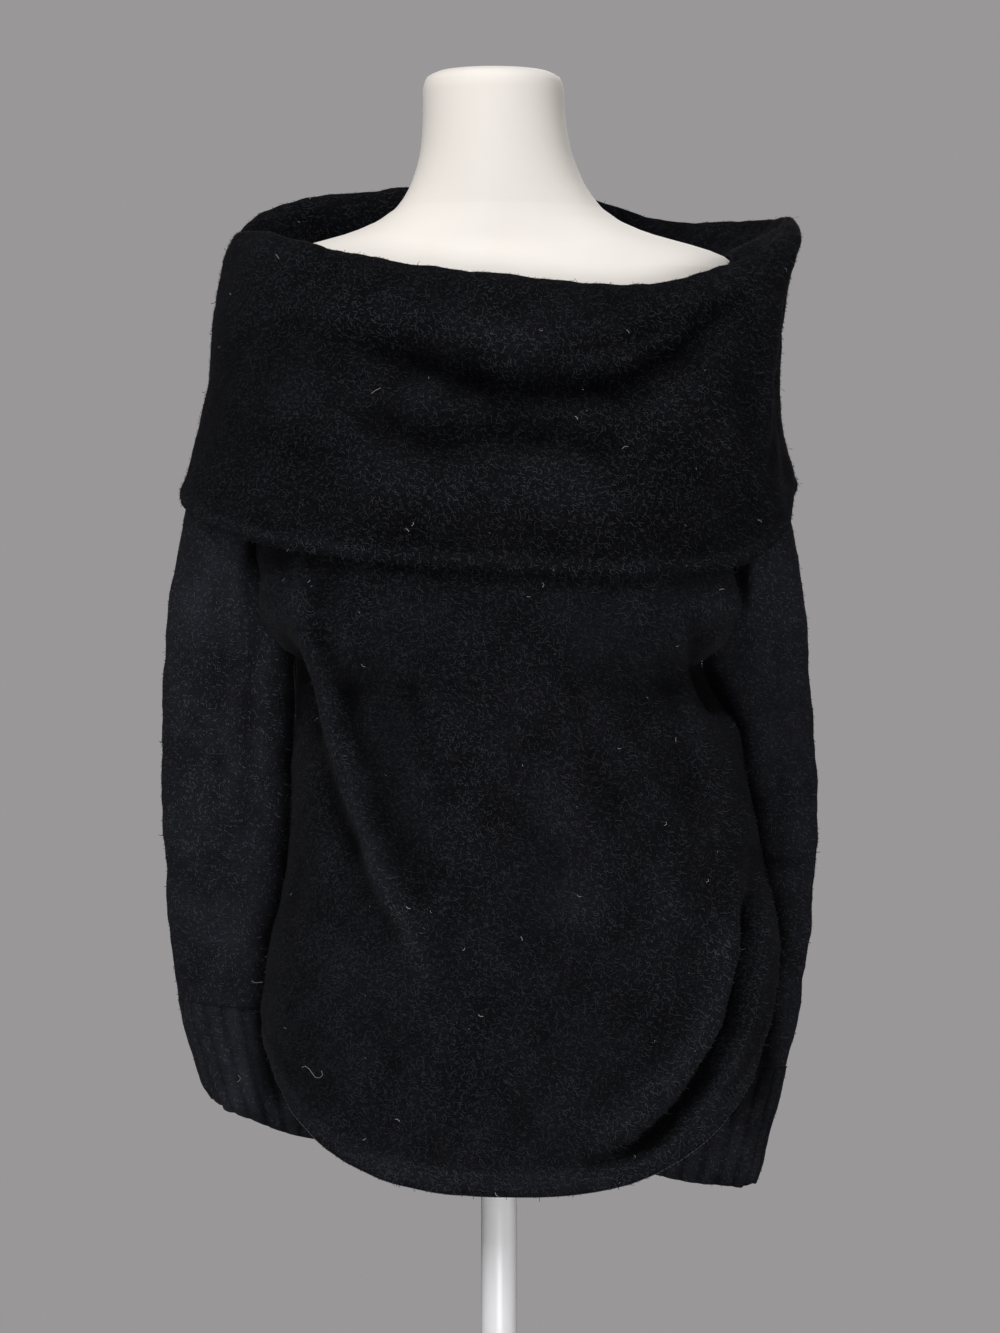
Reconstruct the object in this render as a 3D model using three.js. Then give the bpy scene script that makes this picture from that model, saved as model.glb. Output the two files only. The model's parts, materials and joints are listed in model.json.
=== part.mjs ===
// Cowl neck sweater on a limbless dress form with a round stand.
// Millimetres, +Z up. The front faces -Y and the wearer's left side is at +X.
// The origin is the centre of the stand's underside, on the pole's axis.

import * as THREE from 'three';

// Cloth and clearances
const CLOTH_WALL = 3;
const COWL_WALL = 3.4;
const SEAM_GAP = 0.3;
const REST_GAP = 1.1;

// Stand
const BASE_RADIUS = 150;
const BASE_HEIGHT = 8;
const BASE_CHAMFER = 3;
const HUB_RADIUS = 24;
const HUB_TAPER = 2;
const HUB_HEIGHT = 30;
const POLE_RADIUS = 14;
const FORM_BOTTOM = 716;
const FORM_TOP = 1495;

// Sweater
const NECKLINE_FRONT = 1292;
const NECKLINE_SIDE = 1351;
const NECKLINE_BACK = 1346;
const UNDERARM = 1052;
const HEM_FRONT = 634;
const HEM_BACK = 632;
const HEM_RIGHT_SIDE = 760;
const HEM_LEFT_SIDE = 780;
const HEM_ROUNDNESS = 2.6;
const HEM_CORNER = 0.985;
const BACK_POWER = 2.04;
const SWELL_FULL = 0.6;
const NECKLINE_POWER = 1.6;
const UNDERARM_REACH = 0.24;
const REACH_POWER = 1.5;
const UNDERARM_BLEND = 70;
const UNDERARM_GAP = 1.4;
const UNDERARM_GAP_HEIGHT = 22;
const UNDERARM_SPREAD = 2.5;
const UNDERARM_SPREAD_SHARE = 0.06;
const YOKE_FROM = 1236;
const YOKE_TO = 1290;
const YOKE_SLEEVE_FROM = 1284;
const YOKE_SLEEVE_TO = 1332;

// The cowl's fall, as shares of the way from its foot to its edge, and how far its rise sags.
const FALL_FROM = 0.58;
const FALL_TO = 0.72;
const EDGE_FROM = 0.9;
const EDGE_CALM = 0.7;
const RISE_SAG = 0.06;

// Ribbed cuffs
const CUFF_RIBS = 20;
const RIB_HEIGHT = 1;
const RIB_VALLEY = 0.4;
const COLUMNS_PER_RIB = 3;

// Each row is a level section of the dress form: half its width, and its depth to the front and back.
const FORM_SECTIONS = [
  { height: FORM_BOTTOM, middle: 0, halfWidth: 132, front: 84, back: 70, power: 2.2 },
  { height: 721, middle: 0, halfWidth: 146, front: 93, back: 79, power: 2.2 },
  { height: 732, middle: 0, halfWidth: 154, front: 98, back: 83, power: 2.2 },
  { height: 800, middle: 0, halfWidth: 160, front: 104, back: 87, power: 2.2 },
  { height: 860, middle: 0, halfWidth: 161, front: 103, back: 87, power: 2.2 },
  { height: 930, middle: 0, halfWidth: 151, front: 94, back: 80, power: 2.2 },
  { height: 1000, middle: 0, halfWidth: 133, front: 84, back: 78, power: 2.2 },
  { height: 1050, middle: 0, halfWidth: 124, front: 80, back: 75, power: 2.2 },
  { height: 1100, middle: 0, halfWidth: 128, front: 88, back: 77, power: 2.2 },
  { height: 1160, middle: 0, halfWidth: 140, front: 106, back: 84, power: 2.2 },
  { height: 1215, middle: 0, halfWidth: 151, front: 122, back: 91, power: 2.2 },
  { height: 1255, middle: 0, halfWidth: 160, front: 117, back: 95, power: 2.2 },
  { height: 1295, middle: 0, halfWidth: 174, front: 99, back: 95, power: 2.3 },
  { height: 1322, middle: 0, halfWidth: 185, front: 81, back: 88, power: 2.4 },
  { height: 1340, middle: 0, halfWidth: 186, front: 69, back: 80, power: 2.4 },
  { height: 1351, middle: 0, halfWidth: 176, front: 61, back: 73, power: 2.3 },
  { height: 1360, middle: 0, halfWidth: 151, front: 56, back: 68, power: 2.2 },
  { height: 1368, middle: 0, halfWidth: 122, front: 54, back: 64, power: 2.1 },
  { height: 1378, middle: 0, halfWidth: 97, front: 52, back: 61, power: 2 },
  { height: 1390, middle: 0, halfWidth: 80, front: 50, back: 58, power: 2 },
  { height: 1409, middle: -1, halfWidth: 67.5, front: 50, back: 55, power: 2 },
  { height: 1434, middle: -2.5, halfWidth: 59, front: 50, back: 52, power: 2 },
  { height: 1462, middle: -4, halfWidth: 55.5, front: 50, back: 50, power: 2 },
  { height: 1482, middle: -4.5, halfWidth: 55, front: 50, back: 50, power: 2 },
  { height: 1491, middle: -4.5, halfWidth: 52, front: 47, back: 47, power: 2 },
  { height: FORM_TOP, middle: -4.5, halfWidth: 44, front: 39, back: 39, power: 2 },
];

// Each row is a level section of the sweater's body: its two side seams, its depth front and back,
// and swell, the share by which the front stands out past the seams below the arms.
const BODY_SECTIONS = [
  { height: 600, right: -182, left: 208, front: 112, back: 88, power: 2.3, swell: 0 },
  { height: 680, right: -185, left: 211, front: 118, back: 93, power: 2.3, swell: 0 },
  { height: 760, right: -185, left: 214, front: 121, back: 99, power: 2.3, swell: 0 },
  { height: 811, right: -179, left: 218, front: 122, back: 101, power: 2.3, swell: 0 },
  { height: 850, right: -170, left: 214, front: 122, back: 101, power: 2.2, swell: 0 },
  { height: 885, right: -164, left: 205, front: 121, back: 100, power: 2.15, swell: 0 },
  { height: 930, right: -162, left: 196, front: 122, back: 96, power: 2.1, swell: 0 },
  { height: 975, right: -160, left: 188, front: 124, back: 93, power: 2.1, swell: 0 },
  { height: 1012, right: -158, left: 172, front: 126, back: 92, power: 2.1, swell: 0 },
  { height: 1032, right: -159, left: 163, front: 127, back: 92, power: 2.15, swell: 0.1 },
  { height: UNDERARM, right: -161, left: 159, front: 128, back: 93, power: 2.2, swell: 0.25 },
  { height: 1075, right: -170, left: 168, front: 129, back: 94, power: 2.3, swell: 0.26 },
  { height: 1110, right: -178, left: 180, front: 129, back: 96, power: 2.3, swell: 0.17 },
  { height: 1160, right: -182, left: 188, front: 129, back: 98, power: 2.3, swell: 0.15 },
  { height: 1215, right: -184, left: 190, front: 128, back: 100, power: 2.3, swell: 0.12 },
  { height: 1260, right: -190, left: 193, front: 122, back: 101, power: 2.3, swell: 0.06 },
  { height: 1300, right: -198, left: 199, front: 104, back: 100, power: 2.3, swell: 0 },
];

// Half the angle of the armhole, seen from above, at each height.
const ARMHOLE_ANGLES = [
  { height: UNDERARM, angle: 0 },
  { height: 1072, angle: 9 },
  { height: 1115, angle: 21 },
  { height: 1200, angle: 25 },
  { height: NECKLINE_FRONT, angle: 24 },
  { height: NECKLINE_SIDE, angle: 24 },
];

// Each row is a section of a sleeve. outer is how far its outer side lies from the pole's axis,
// opening is half the angle that is left open towards the body, and drop is how much higher
// the section lies at its outer side than at its inner one.
const SLEEVE_RIGHT = [
  { height: 667, outer: 232, width: 95, middle: 89, depth: 45, opening: 0.4, drop: 28 },
  { height: 700, outer: 242, width: 98, middle: 87, depth: 46, opening: 0.4, drop: 22 },
  { height: 760, outer: 256, width: 104, middle: 81, depth: 48, opening: 0.4, drop: 12 },
  { height: 805, outer: 261, width: 107, middle: 74, depth: 50, opening: 0.4, drop: 4 },
  { height: 860, outer: 265, width: 108, middle: 65, depth: 53, opening: 0.4, drop: 0 },
  { height: 930, outer: 267, width: 108, middle: 53, depth: 57, opening: 0.4, drop: 0 },
  { height: 1000, outer: 266, width: 107, middle: 41, depth: 62, opening: 0.4, drop: 0 },
  { height: UNDERARM, outer: 263, width: 104, middle: 30, depth: 68, opening: 0.6, drop: 0 },
  { height: 1076, outer: 260, width: 102, middle: 25, depth: 74, opening: 38, drop: 0 },
  { height: 1120, outer: 252, width: 101, middle: 17, depth: 84, opening: 74, drop: 0 },
  { height: 1200, outer: 234, width: 96, middle: 8, depth: 96, opening: 88, drop: 0 },
  { height: 1270, outer: 219, width: 78, middle: 4, depth: 98, opening: 96, drop: 0 },
  { height: 1315, outer: 210, width: 58, middle: 3, depth: 88, opening: 100, drop: 0 },
  { height: NECKLINE_SIDE, outer: 190, width: 40, middle: 3, depth: 50, opening: 102, drop: 0 },
];
const SLEEVE_LEFT = [
  { height: 620, outer: 208, width: 98, middle: 104, depth: 42, opening: 0.4, drop: -18 },
  { height: 680, outer: 222, width: 99, middle: 103, depth: 43, opening: 0.4, drop: -15 },
  { height: 740, outer: 237, width: 100, middle: 102, depth: 44, opening: 0.4, drop: -10 },
  { height: 790, outer: 246, width: 100, middle: 101, depth: 45, opening: 0.4, drop: -4 },
  { height: 850, outer: 253, width: 99, middle: 96, depth: 46, opening: 0.4, drop: 0 },
  { height: 920, outer: 255, width: 97, middle: 85, depth: 50, opening: 0.4, drop: 0 },
  { height: 990, outer: 250, width: 90, middle: 67, depth: 55, opening: 0.4, drop: 0 },
  { height: UNDERARM, outer: 244, width: 83, middle: 46, depth: 62, opening: 0.6, drop: 0 },
  { height: 1076, outer: 241, width: 82, middle: 37, depth: 72, opening: 38, drop: 0 },
  { height: 1120, outer: 235, width: 87, middle: 24, depth: 84, opening: 74, drop: 0 },
  { height: 1200, outer: 220, width: 86, middle: 10, depth: 96, opening: 88, drop: 0 },
  { height: 1270, outer: 214, width: 72, middle: 4, depth: 98, opening: 96, drop: 0 },
  { height: 1315, outer: 209, width: 56, middle: 3, depth: 88, opening: 100, drop: 0 },
  { height: NECKLINE_SIDE, outer: 190, width: 40, middle: 3, depth: 50, opening: 102, drop: 0 },
];
const SLEEVES = {
  sleeve_right: { side: -1, sections: SLEEVE_RIGHT, cuffTop: 760, end: 667 },
  sleeve_left: { side: 1, sections: SLEEVE_LEFT, cuffTop: 716, end: 620 },
};

// The cowl's fold line and the edge of its fall, by the angle from +X, seen from above.
const COWL_EDGES = [
  { angle: 0, roll: 1378, hem: 1170 },
  { angle: 25, roll: 1380, hem: 1156 },
  { angle: 55, roll: 1383, hem: 1136 },
  { angle: 90, roll: 1415, hem: 1124 },
  { angle: 125, roll: 1403, hem: 1134 },
  { angle: 155, roll: 1386, hem: 1152 },
  { angle: 180, roll: 1371, hem: 1165 },
  { angle: 205, roll: 1366, hem: 1143 },
  { angle: 235, roll: 1347, hem: 1121 },
  { angle: 265, roll: 1329, hem: 1107 },
  { angle: 290, roll: 1320, hem: 1101 },
  { angle: 315, roll: 1330, hem: 1107 },
  { angle: 340, roll: 1362, hem: 1138 },
];

// Each row is a loop of the cowl, from its rise over the roll to the fall's edge. fall is the share
// of the way from the roll to that edge, and below is how far under the roll the loop lies.
const COWL_LOOPS = [
  { right: -192, left: 216, front: 99, back: 88, power: 2.3, fall: 0, below: 9 },
  { right: -201, left: 227, front: 111, back: 98, power: 2.3, fall: 0, below: 0 },
  { right: -210, left: 235, front: 125, back: 107, power: 2.3, fall: 0, below: 11 },
  { right: -219, left: 227, front: 143, back: 117, power: 2.35, fall: 0.28, below: 0 },
  { right: -226, left: 222, front: 151, back: 120, power: 2.35, fall: 0.64, below: 0 },
  { right: -247, left: 233, front: 146, back: 122, power: 2.35, fall: 1, below: 0 },
];

// Folds are soft ridges (height above 0) and troughs (below 0) along a line of x, z points.
const COWL_FOLDS = [
  {
    height: -13,
    width: 17,
    line: [
      [-162, 1286], [-89, 1266], [-50, 1254], [4, 1238], [54, 1238],
      [95, 1243], [142, 1270], [171, 1308], [192, 1326],
    ],
  },
  {
    height: -11,
    width: 14,
    line: [[-122, 1228], [-89, 1214], [-45, 1202], [1, 1206], [55, 1204], [120, 1185]],
  },
  { height: 5, width: 13, line: [[-80, 1241], [0, 1223], [60, 1221], [110, 1222]] },
  { height: 6, width: 20, line: [[-160, 1314], [-80, 1297], [0, 1283], [50, 1284]] },
  { height: 5, width: 26, line: [[-150, 1174], [-40, 1158], [60, 1154], [150, 1156]] },
];
const COWL_SIDE_FOLDS = [
  { angle: 352, height: -9, width: 9 },
  { angle: 332, height: 5, width: 12 },
  { angle: 62, height: -6, width: 12 },
  { angle: 118, height: -6, width: 13 },
  { angle: 196, height: 4, width: 14 },
];
const FRONT_FOLDS = [
  {
    height: 11,
    width: 11,
    line: [
      [-156, 1115], [-143, 1054], [-129, 993], [-113, 944], [-93, 887],
      [-66, 829], [-54, 797],
    ],
  },
  { height: -10, width: 16, line: [[-112, 1010], [-88, 935], [-62, 876], [-38, 832]] },
  { height: 10, width: 16, line: [[-182, 1110], [-164, 1074], [-146, 1046]] },
  { height: -9, width: 13, line: [[-170, 1040], [-156, 1008]] },
  { height: 13, width: 19, line: [[172, 1112], [178, 1070]] },
  { height: -12, width: 11, line: [[160, 1040], [165, 1016], [172, 990]] },
  { height: 6, width: 16, line: [[150, 1050], [158, 985], [172, 930], [182, 870]] },
  {
    height: -13,
    width: 8,
    line: [
      [197, 886], [193, 834], [181, 767], [166, 738], [150, 714],
      [130, 690], [108, 672], [70, 659],
    ],
  },
  { height: 6, width: 16, line: [[176, 870], [172, 820], [158, 762], [132, 720], [98, 690], [56, 674]] },
  { height: 5, width: 24, line: [[30, 980], [60, 900], [70, 820]] },
];
const BACK_FOLDS = [
  { height: 8, width: 18, line: [[-150, 1090], [-118, 1000], [-72, 900], [-50, 830]] },
  { height: -7, width: 20, line: [[-95, 1010], [-50, 900], [-20, 840]] },
  { height: 7, width: 18, line: [[150, 1100], [124, 1010], [92, 930], [80, 870]] },
  { height: -6, width: 20, line: [[96, 1030], [52, 950], [36, 870]] },
  { height: 5, width: 26, line: [[0, 1120], [10, 1000], [6, 900]] },
];

// Stations down the armhole, as shares of the way from the neckline to the underarm, so that
// the panels and the sleeves share their edges' points, and then down to the hem or the cuff.
const ARMHOLE_STATIONS = [0, 0.022, 0.05, 0.09, 0.16, 0.28, 0.44, 0.6, 0.73, 0.83, 0.9, 0.95, 1];

// Mesh sizes
const FRONT_COLUMNS = 30;
const BACK_COLUMNS = 24;
const BODY_ROWS = 13;
const SLEEVE_COLUMNS = 20;
const SLEEVE_ROWS = 7;
const CUFF_ROWS = 2;
const COWL_COLUMNS = 52;
const COWL_ROWS = 19;
const FORM_COLUMNS = 24;
const FORM_ROW_MAX = 55;
const BASE_COLUMNS = 32;
const POLE_COLUMNS = 24;
const SHARE_STEP = 0.002;
const ANGLE_STEP = 0.01;
const HEIGHT_STEP = 0.5;

const DEGREE = Math.PI / 180;

const COLOURS = {
  knit: { color: 0x17171a, roughness: 0.95, metalness: 0 },
  rib: { color: 0x1a1a1e, roughness: 0.92, metalness: 0 },
  form: { color: 0xe6e0d8, roughness: 0.75, metalness: 0 },
  stand: { color: 0xe9e9ea, roughness: 0.35, metalness: 0 },
};

function smoothStep(value, from, to) {
  const share = THREE.MathUtils.clamp((value - from) / (to - from), 0, 1);
  return share * share * (3 - 2 * share);
}

// A height at a share of the way down: the first half goes to the underarm, the second to the end.
function heightDown(top, end, down) {
  return down < 0.5
    ? top + (UNDERARM - top) * 2 * down
    : UNDERARM + (end - UNDERARM) * (2 * down - 1);
}

function stationsDown(rowsBelow) {
  const above = ARMHOLE_STATIONS.map((share) => share / 2);
  const below = Array.from({ length: rowsBelow }, (unused, i) => 0.5 + (0.5 * (i + 1)) / rowsBelow);
  return [...above, ...below];
}

// A smooth curve through one column of a table, that never overshoots its rows.
function tableCurve(rows, along, column) {
  const sorted = [...rows].sort((one, other) => one[along] - other[along]);
  const places = sorted.map((row) => row[along]);
  const values = sorted.map((row) => row[column]);
  const steps = places.slice(1).map((place, i) => (values[i + 1] - values[i]) / (place - places[i]));
  const slopes = values.map((value, i) => {
    const before = steps[i - 1] ?? steps[i];
    const after = steps[i] ?? steps[i - 1];
    return before * after <= 0 ? 0 : (2 * before * after) / (before + after);
  });
  return (place) => {
    const inside = THREE.MathUtils.clamp(place, places[0], places.at(-1));
    let i = 0;
    while (i < places.length - 2 && inside > places[i + 1]) {
      i += 1;
    }
    const width = places[i + 1] - places[i];
    const share = (inside - places[i]) / width;
    const square = share * share;
    const cube = square * share;
    return (
      values[i] * (2 * cube - 3 * square + 1) +
      slopes[i] * width * (cube - 2 * square + share) +
      values[i + 1] * (3 * square - 2 * cube) +
      slopes[i + 1] * width * (cube - square)
    );
  };
}

function curvesOf(rows, along, columns) {
  const curves = Object.fromEntries(columns.map((name) => [name, tableCurve(rows, along, name)]));
  return (place) => Object.fromEntries(columns.map((name) => [name, curves[name](place)]));
}

// A point and the outward direction on a level oval with its own depth to the front and back.
function ovalPoint(section, angle, height) {
  const across = Math.cos(angle);
  const deep = Math.sin(angle);
  const depth = deep < 0 ? section.front : section.back;
  const reach = 2 / (deep < 0 ? section.power : section.backPower ?? section.power);
  return new THREE.Vector3(
    section.middle + section.halfWidth * Math.sign(across) * Math.abs(across) ** reach,
    depth * Math.sign(deep) * Math.abs(deep) ** reach,
    height,
  );
}

function ovalOutward(section, angle) {
  const across = Math.cos(angle);
  const deep = Math.sin(angle);
  const depth = deep < 0 ? section.front : section.back;
  const reach = 2 - 2 / (deep < 0 ? section.power : section.backPower ?? section.power);
  return new THREE.Vector3(
    (Math.sign(across) * Math.abs(across) ** reach) / section.halfWidth,
    (Math.sign(deep) * Math.abs(deep) ** reach) / depth,
    0,
  ).normalize();
}

// The outward direction of a surface given by two values, from its two slopes.
function outwardOf(surface, first, second, firstStep, secondStep) {
  const alongFirst = surface(first + firstStep, second).sub(surface(first - firstStep, second));
  const alongSecond = surface(first, second + secondStep).sub(surface(first, second - secondStep));
  return alongFirst.cross(alongSecond).normalize();
}

// The height of a fold over a point of the front or back, from its distance to the fold's line.
function foldsAt(folds, x, z) {
  let total = 0;
  for (const fold of folds) {
    let nearest = Infinity;
    for (let i = 1; i < fold.line.length; i += 1) {
      const [startX, startZ] = fold.line[i - 1];
      const spanX = fold.line[i][0] - startX;
      const spanZ = fold.line[i][1] - startZ;
      const onto = ((x - startX) * spanX + (z - startZ) * spanZ) / (spanX * spanX + spanZ * spanZ);
      const share = THREE.MathUtils.clamp(onto, 0, 1);
      nearest = Math.min(nearest, Math.hypot(x - startX - share * spanX, z - startZ - share * spanZ));
    }
    total += fold.height * Math.exp(-((nearest / fold.width) ** 2));
  }
  return total;
}

// Dress form
const formSection = curvesOf(FORM_SECTIONS, 'height', ['middle', 'halfWidth', 'front', 'back', 'power']);

function formPoint(angle, height) {
  return ovalPoint(formSection(height), angle, height);
}

// The sweater's outer side where it rests on the form's shoulders.
function yokePoint(angle, height) {
  const outward = outwardOf(formPoint, angle, height, ANGLE_STEP, HEIGHT_STEP);
  return formPoint(angle, height).addScaledVector(outward, REST_GAP + CLOTH_WALL);
}

function necklineHeight(angle) {
  const deep = Math.sin(angle);
  const middle = deep < 0 ? NECKLINE_FRONT : NECKLINE_BACK;
  return NECKLINE_SIDE + (middle - NECKLINE_SIDE) * Math.abs(deep) ** NECKLINE_POWER;
}

// Body
const BODY_COLUMNS = ['right', 'left', 'front', 'back', 'power', 'swell'];
const bodySeams = curvesOf(BODY_SECTIONS, 'height', BODY_COLUMNS);

function bodySection(height) {
  const seams = bodySeams(height);
  const middle = (seams.left + seams.right) / 2;
  return { ...seams, middle, halfWidth: (seams.left - seams.right) / 2, backPower: BACK_POWER };
}

function bodyPoint(angle, height) {
  const section = bodySection(height);
  section.halfWidth *= 1 + section.swell * smoothStep(-Math.sin(angle), 0, SWELL_FULL);
  const point = ovalPoint(section, angle, height);
  const folds = Math.sin(angle) < 0 ? FRONT_FOLDS : BACK_FOLDS;
  const nearSeam = Math.min(1, Math.abs(Math.sin(angle)) / 0.2);
  point.addScaledVector(ovalOutward(section, angle), foldsAt(folds, point.x, point.z) * nearSeam);
  return point.lerp(yokePoint(angle, Math.max(height, YOKE_FROM)), smoothStep(height, YOKE_FROM, YOKE_TO));
}

function hemHeight(angle) {
  const across = Math.abs(Math.cos(angle)) ** (2 / 2.3);
  const bottom = Math.sin(angle) < 0 ? HEM_FRONT : HEM_BACK;
  const side = Math.cos(angle) < 0 ? HEM_RIGHT_SIDE : HEM_LEFT_SIDE;
  const rounded = (share) => 1 - (1 - (HEM_CORNER * share) ** HEM_ROUNDNESS) ** (1 / HEM_ROUNDNESS);
  return bottom + ((side - bottom) * rounded(across)) / rounded(1);
}

const armholeAngle = tableCurve(ARMHOLE_ANGLES, 'height', 'angle');

// A sleeve's surface. around runs from the front of the armhole round the outer side to the back.
function sleeveSurface(sleeve) {
  const columns = ['outer', 'width', 'middle', 'depth', 'opening', 'drop'];
  const sectionAt = curvesOf(sleeve.sections, 'height', columns);
  return (around, height) => {
    const section = sectionAt(height);
    const open = section.opening * DEGREE;
    const angle = open + (2 * Math.PI - 2 * open) * around;
    const halfWidth = section.width / 2;
    const outward = -halfWidth * Math.cos(angle);
    const point = new THREE.Vector3(
      sleeve.side * (section.outer - halfWidth + outward),
      section.middle - (section.depth / 2) * Math.sin(angle),
      height + (section.drop * outward) / section.width,
    );
    const hole = armholeAngle(height) * DEGREE;
    const yokeAngle = sleeve.side > 0 ? (2 * around - 1) * hole : Math.PI + (1 - 2 * around) * hole;
    const onYoke = yokePoint(yokeAngle, Math.max(height, YOKE_TO));
    return point.lerp(onYoke, smoothStep(height, YOKE_SLEEVE_FROM, YOKE_SLEEVE_TO));
  };
}

const sleeveRight = sleeveSurface(SLEEVES.sleeve_right);
const sleeveLeft = sleeveSurface(SLEEVES.sleeve_left);

// The front or back panel. across runs from the wearer's right seam to the left one, and the panel's
// sides are drawn to the sleeves' edges along the armholes.
function panelSurface(front) {
  const turn = front ? 1 : -1;
  const edge = front ? 0 : 1;
  return (across, down) => {
    const angleAt = (share, hole) => Math.PI + turn * (hole + (Math.PI - 2 * hole) * share);
    const topAngle = angleAt(across, armholeAngle(NECKLINE_SIDE) * DEGREE);
    const height = heightDown(necklineHeight(topAngle), hemHeight(angleAt(across, 0)), down);
    const hole = armholeAngle(height) * DEGREE;
    const point = bodyPoint(angleAt(across, hole), height);
    const held = smoothStep(height, UNDERARM - UNDERARM_BLEND, UNDERARM);
    const aboveUnderarm = smoothStep(height, UNDERARM, UNDERARM + UNDERARM_GAP_HEIGHT);
    const gap = SEAM_GAP + 0.1 + UNDERARM_GAP * (1 - aboveUnderarm);
    for (const [share, surface, side] of [[0, sleeveRight, -1], [1, sleeveLeft, 1]]) {
      const near = Math.max(0, 1 - Math.abs(across - share) / UNDERARM_REACH) ** REACH_POWER * held;
      const target = surface(edge, Math.max(height, UNDERARM));
      target.x -= side * gap;
      target.y -= turn * gap * 0.5;
      const start = bodyPoint(angleAt(share, hole), height);
      point.x += (target.x - start.x) * near;
      point.y += (target.y - start.y) * near;
    }
    return point;
  };
}

// Cowl collar
const threeTurns = [-360, 0, 360].flatMap((turn) =>
  COWL_EDGES.map((row) => ({ ...row, angle: row.angle + turn })),
);
const cowlEdges = curvesOf(threeTurns, 'angle', ['roll', 'hem']);

function cowlSurface(around, along) {
  const turned = THREE.MathUtils.euclideanModulo(around, 1);
  const angle = turned * 2 * Math.PI;
  const degrees = turned * 360;
  const { roll, hem } = cowlEdges(degrees);
  const foot = yokePoint(angle, necklineHeight(angle));
  const rise = outwardOf(formPoint, angle, necklineHeight(angle), ANGLE_STEP, HEIGHT_STEP);
  foot.addScaledVector(rise, (COWL_WALL - CLOTH_WALL) / 2);
  foot.z += SEAM_GAP + 0.2;
  const loops = COWL_LOOPS.map((loop) => {
    const middle = (loop.left + loop.right) / 2;
    const halfWidth = (loop.left - loop.right) / 2;
    return ovalPoint({ ...loop, middle, halfWidth }, angle, roll - loop.below - loop.fall * (roll - hem));
  });
  const shoulder = foot.clone().lerp(loops[0], 0.5);
  shoulder.z -= RISE_SAG * (loops[0].z - foot.z);
  const profile = new THREE.CatmullRomCurve3([foot, shoulder, ...loops], false, 'centripetal');
  const point = profile.getPoint(THREE.MathUtils.clamp(along, 0, 1));
  const onFall = smoothStep(along, FALL_FROM, FALL_TO) * (1 - EDGE_CALM * smoothStep(along, EDGE_FROM, 1));
  const outward = new THREE.Vector3(Math.cos(angle), Math.sin(angle), 0);
  const front = smoothStep(-Math.sin(angle), 0.05, 0.4);
  let height = foldsAt(COWL_FOLDS, point.x, point.z) * front;
  for (const fold of COWL_SIDE_FOLDS) {
    const apart = Math.abs(THREE.MathUtils.euclideanModulo(degrees - fold.angle + 180, 360) - 180);
    height += fold.height * Math.exp(-((apart / fold.width) ** 2));
  }
  return point.addScaledVector(outward, height * onFall);
}

// Solids
function meshOf(name, geometry, colour) {
  const mesh = new THREE.Mesh(geometry, new THREE.MeshStandardMaterial(COLOURS[colour]));
  mesh.name = name;
  return mesh;
}

function geometryOf(points, faces) {
  const geometry = new THREE.BufferGeometry();
  const values = points.flatMap((point) => point.toArray());
  geometry.setAttribute('position', new THREE.Float32BufferAttribute(values, 3));
  geometry.setIndex(faces.flat());
  return geometry;
}

// A wall of cloth between a grid of outer points and a grid of inner ones. closed joins its two sides.
function wallGeometry(outer, inner, closed) {
  const rows = outer.length;
  const columns = outer[0].length;
  const points = [...outer.flat(), ...inner.flat()];
  const size = rows * columns;
  const place = (row, column, side) => side * size + row * columns + (column % columns);
  const faces = [];
  const quad = (a, b, c, d) => faces.push([a, b, c], [a, c, d]);
  const lastColumn = closed ? columns : columns - 1;
  for (let column = 0; column < lastColumn; column += 1) {
    for (let row = 0; row < rows - 1; row += 1) {
      const corners = [[row, column], [row + 1, column], [row + 1, column + 1], [row, column + 1]];
      quad(...corners.map(([r, c]) => place(r, c, 0)));
      quad(...corners.reverse().map(([r, c]) => place(r, c, 1)));
    }
    quad(place(0, column, 0), place(0, column + 1, 0), place(0, column + 1, 1), place(0, column, 1));
    const end = rows - 1;
    quad(place(end, column, 1), place(end, column + 1, 1), place(end, column + 1, 0), place(end, column, 0));
  }
  if (!closed) {
    for (let row = 0; row < rows - 1; row += 1) {
      const far = columns - 1;
      quad(place(row, 0, 0), place(row, 0, 1), place(row + 1, 0, 1), place(row + 1, 0, 0));
      quad(place(row, far, 1), place(row, far, 0), place(row + 1, far, 0), place(row + 1, far, 1));
    }
  }
  return turnedOut(geometryOf(points, faces));
}

// Faces point outwards when the volume that they enclose is above zero.
function turnedOut(geometry) {
  const position = geometry.getAttribute('position');
  const index = geometry.getIndex().array;
  const corner = (i) => new THREE.Vector3().fromBufferAttribute(position, index[i]);
  let volume = 0;
  for (let i = 0; i < index.length; i += 3) {
    volume += corner(i).dot(corner(i + 1).cross(corner(i + 2)));
  }
  if (volume < 0) {
    for (let i = 0; i < index.length; i += 3) {
      [index[i], index[i + 1]] = [index[i + 1], index[i]];
    }
  }
  return geometry;
}

// Cloth along a surface of two shares, each from 0 to 1. facing is 1 or -1, so that the wall lies
// on the inner side of the surface. square gives the outward direction where two pieces meet flush.
function clothWall({ surface, columns, downs, closed, wall, facing, raised, shift, square }) {
  const outer = [];
  const inner = [];
  const steps = closed ? columns : columns + 1;
  for (const down of downs) {
    const outerRow = [];
    const innerRow = [];
    for (let column = 0; column < steps; column += 1) {
      const across = column / columns;
      const point = surface(across, down);
      const slope = outwardOf(surface, across, down, SHARE_STEP, SHARE_STEP).multiplyScalar(facing);
      const outward = square?.(across, down) ?? slope;
      if (shift) {
        point.add(shift(column === 0 || column === columns, down));
      }
      innerRow.push(point.clone().addScaledVector(outward, -wall));
      outerRow.push(point.addScaledVector(outward, raised ? raised(column) : 0));
    }
    outer.push(outerRow);
    inner.push(innerRow);
  }
  return wallGeometry(outer, inner, closed);
}

function evenShares(count) {
  return Array.from({ length: count + 1 }, (unused, i) => i / count);
}

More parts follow.
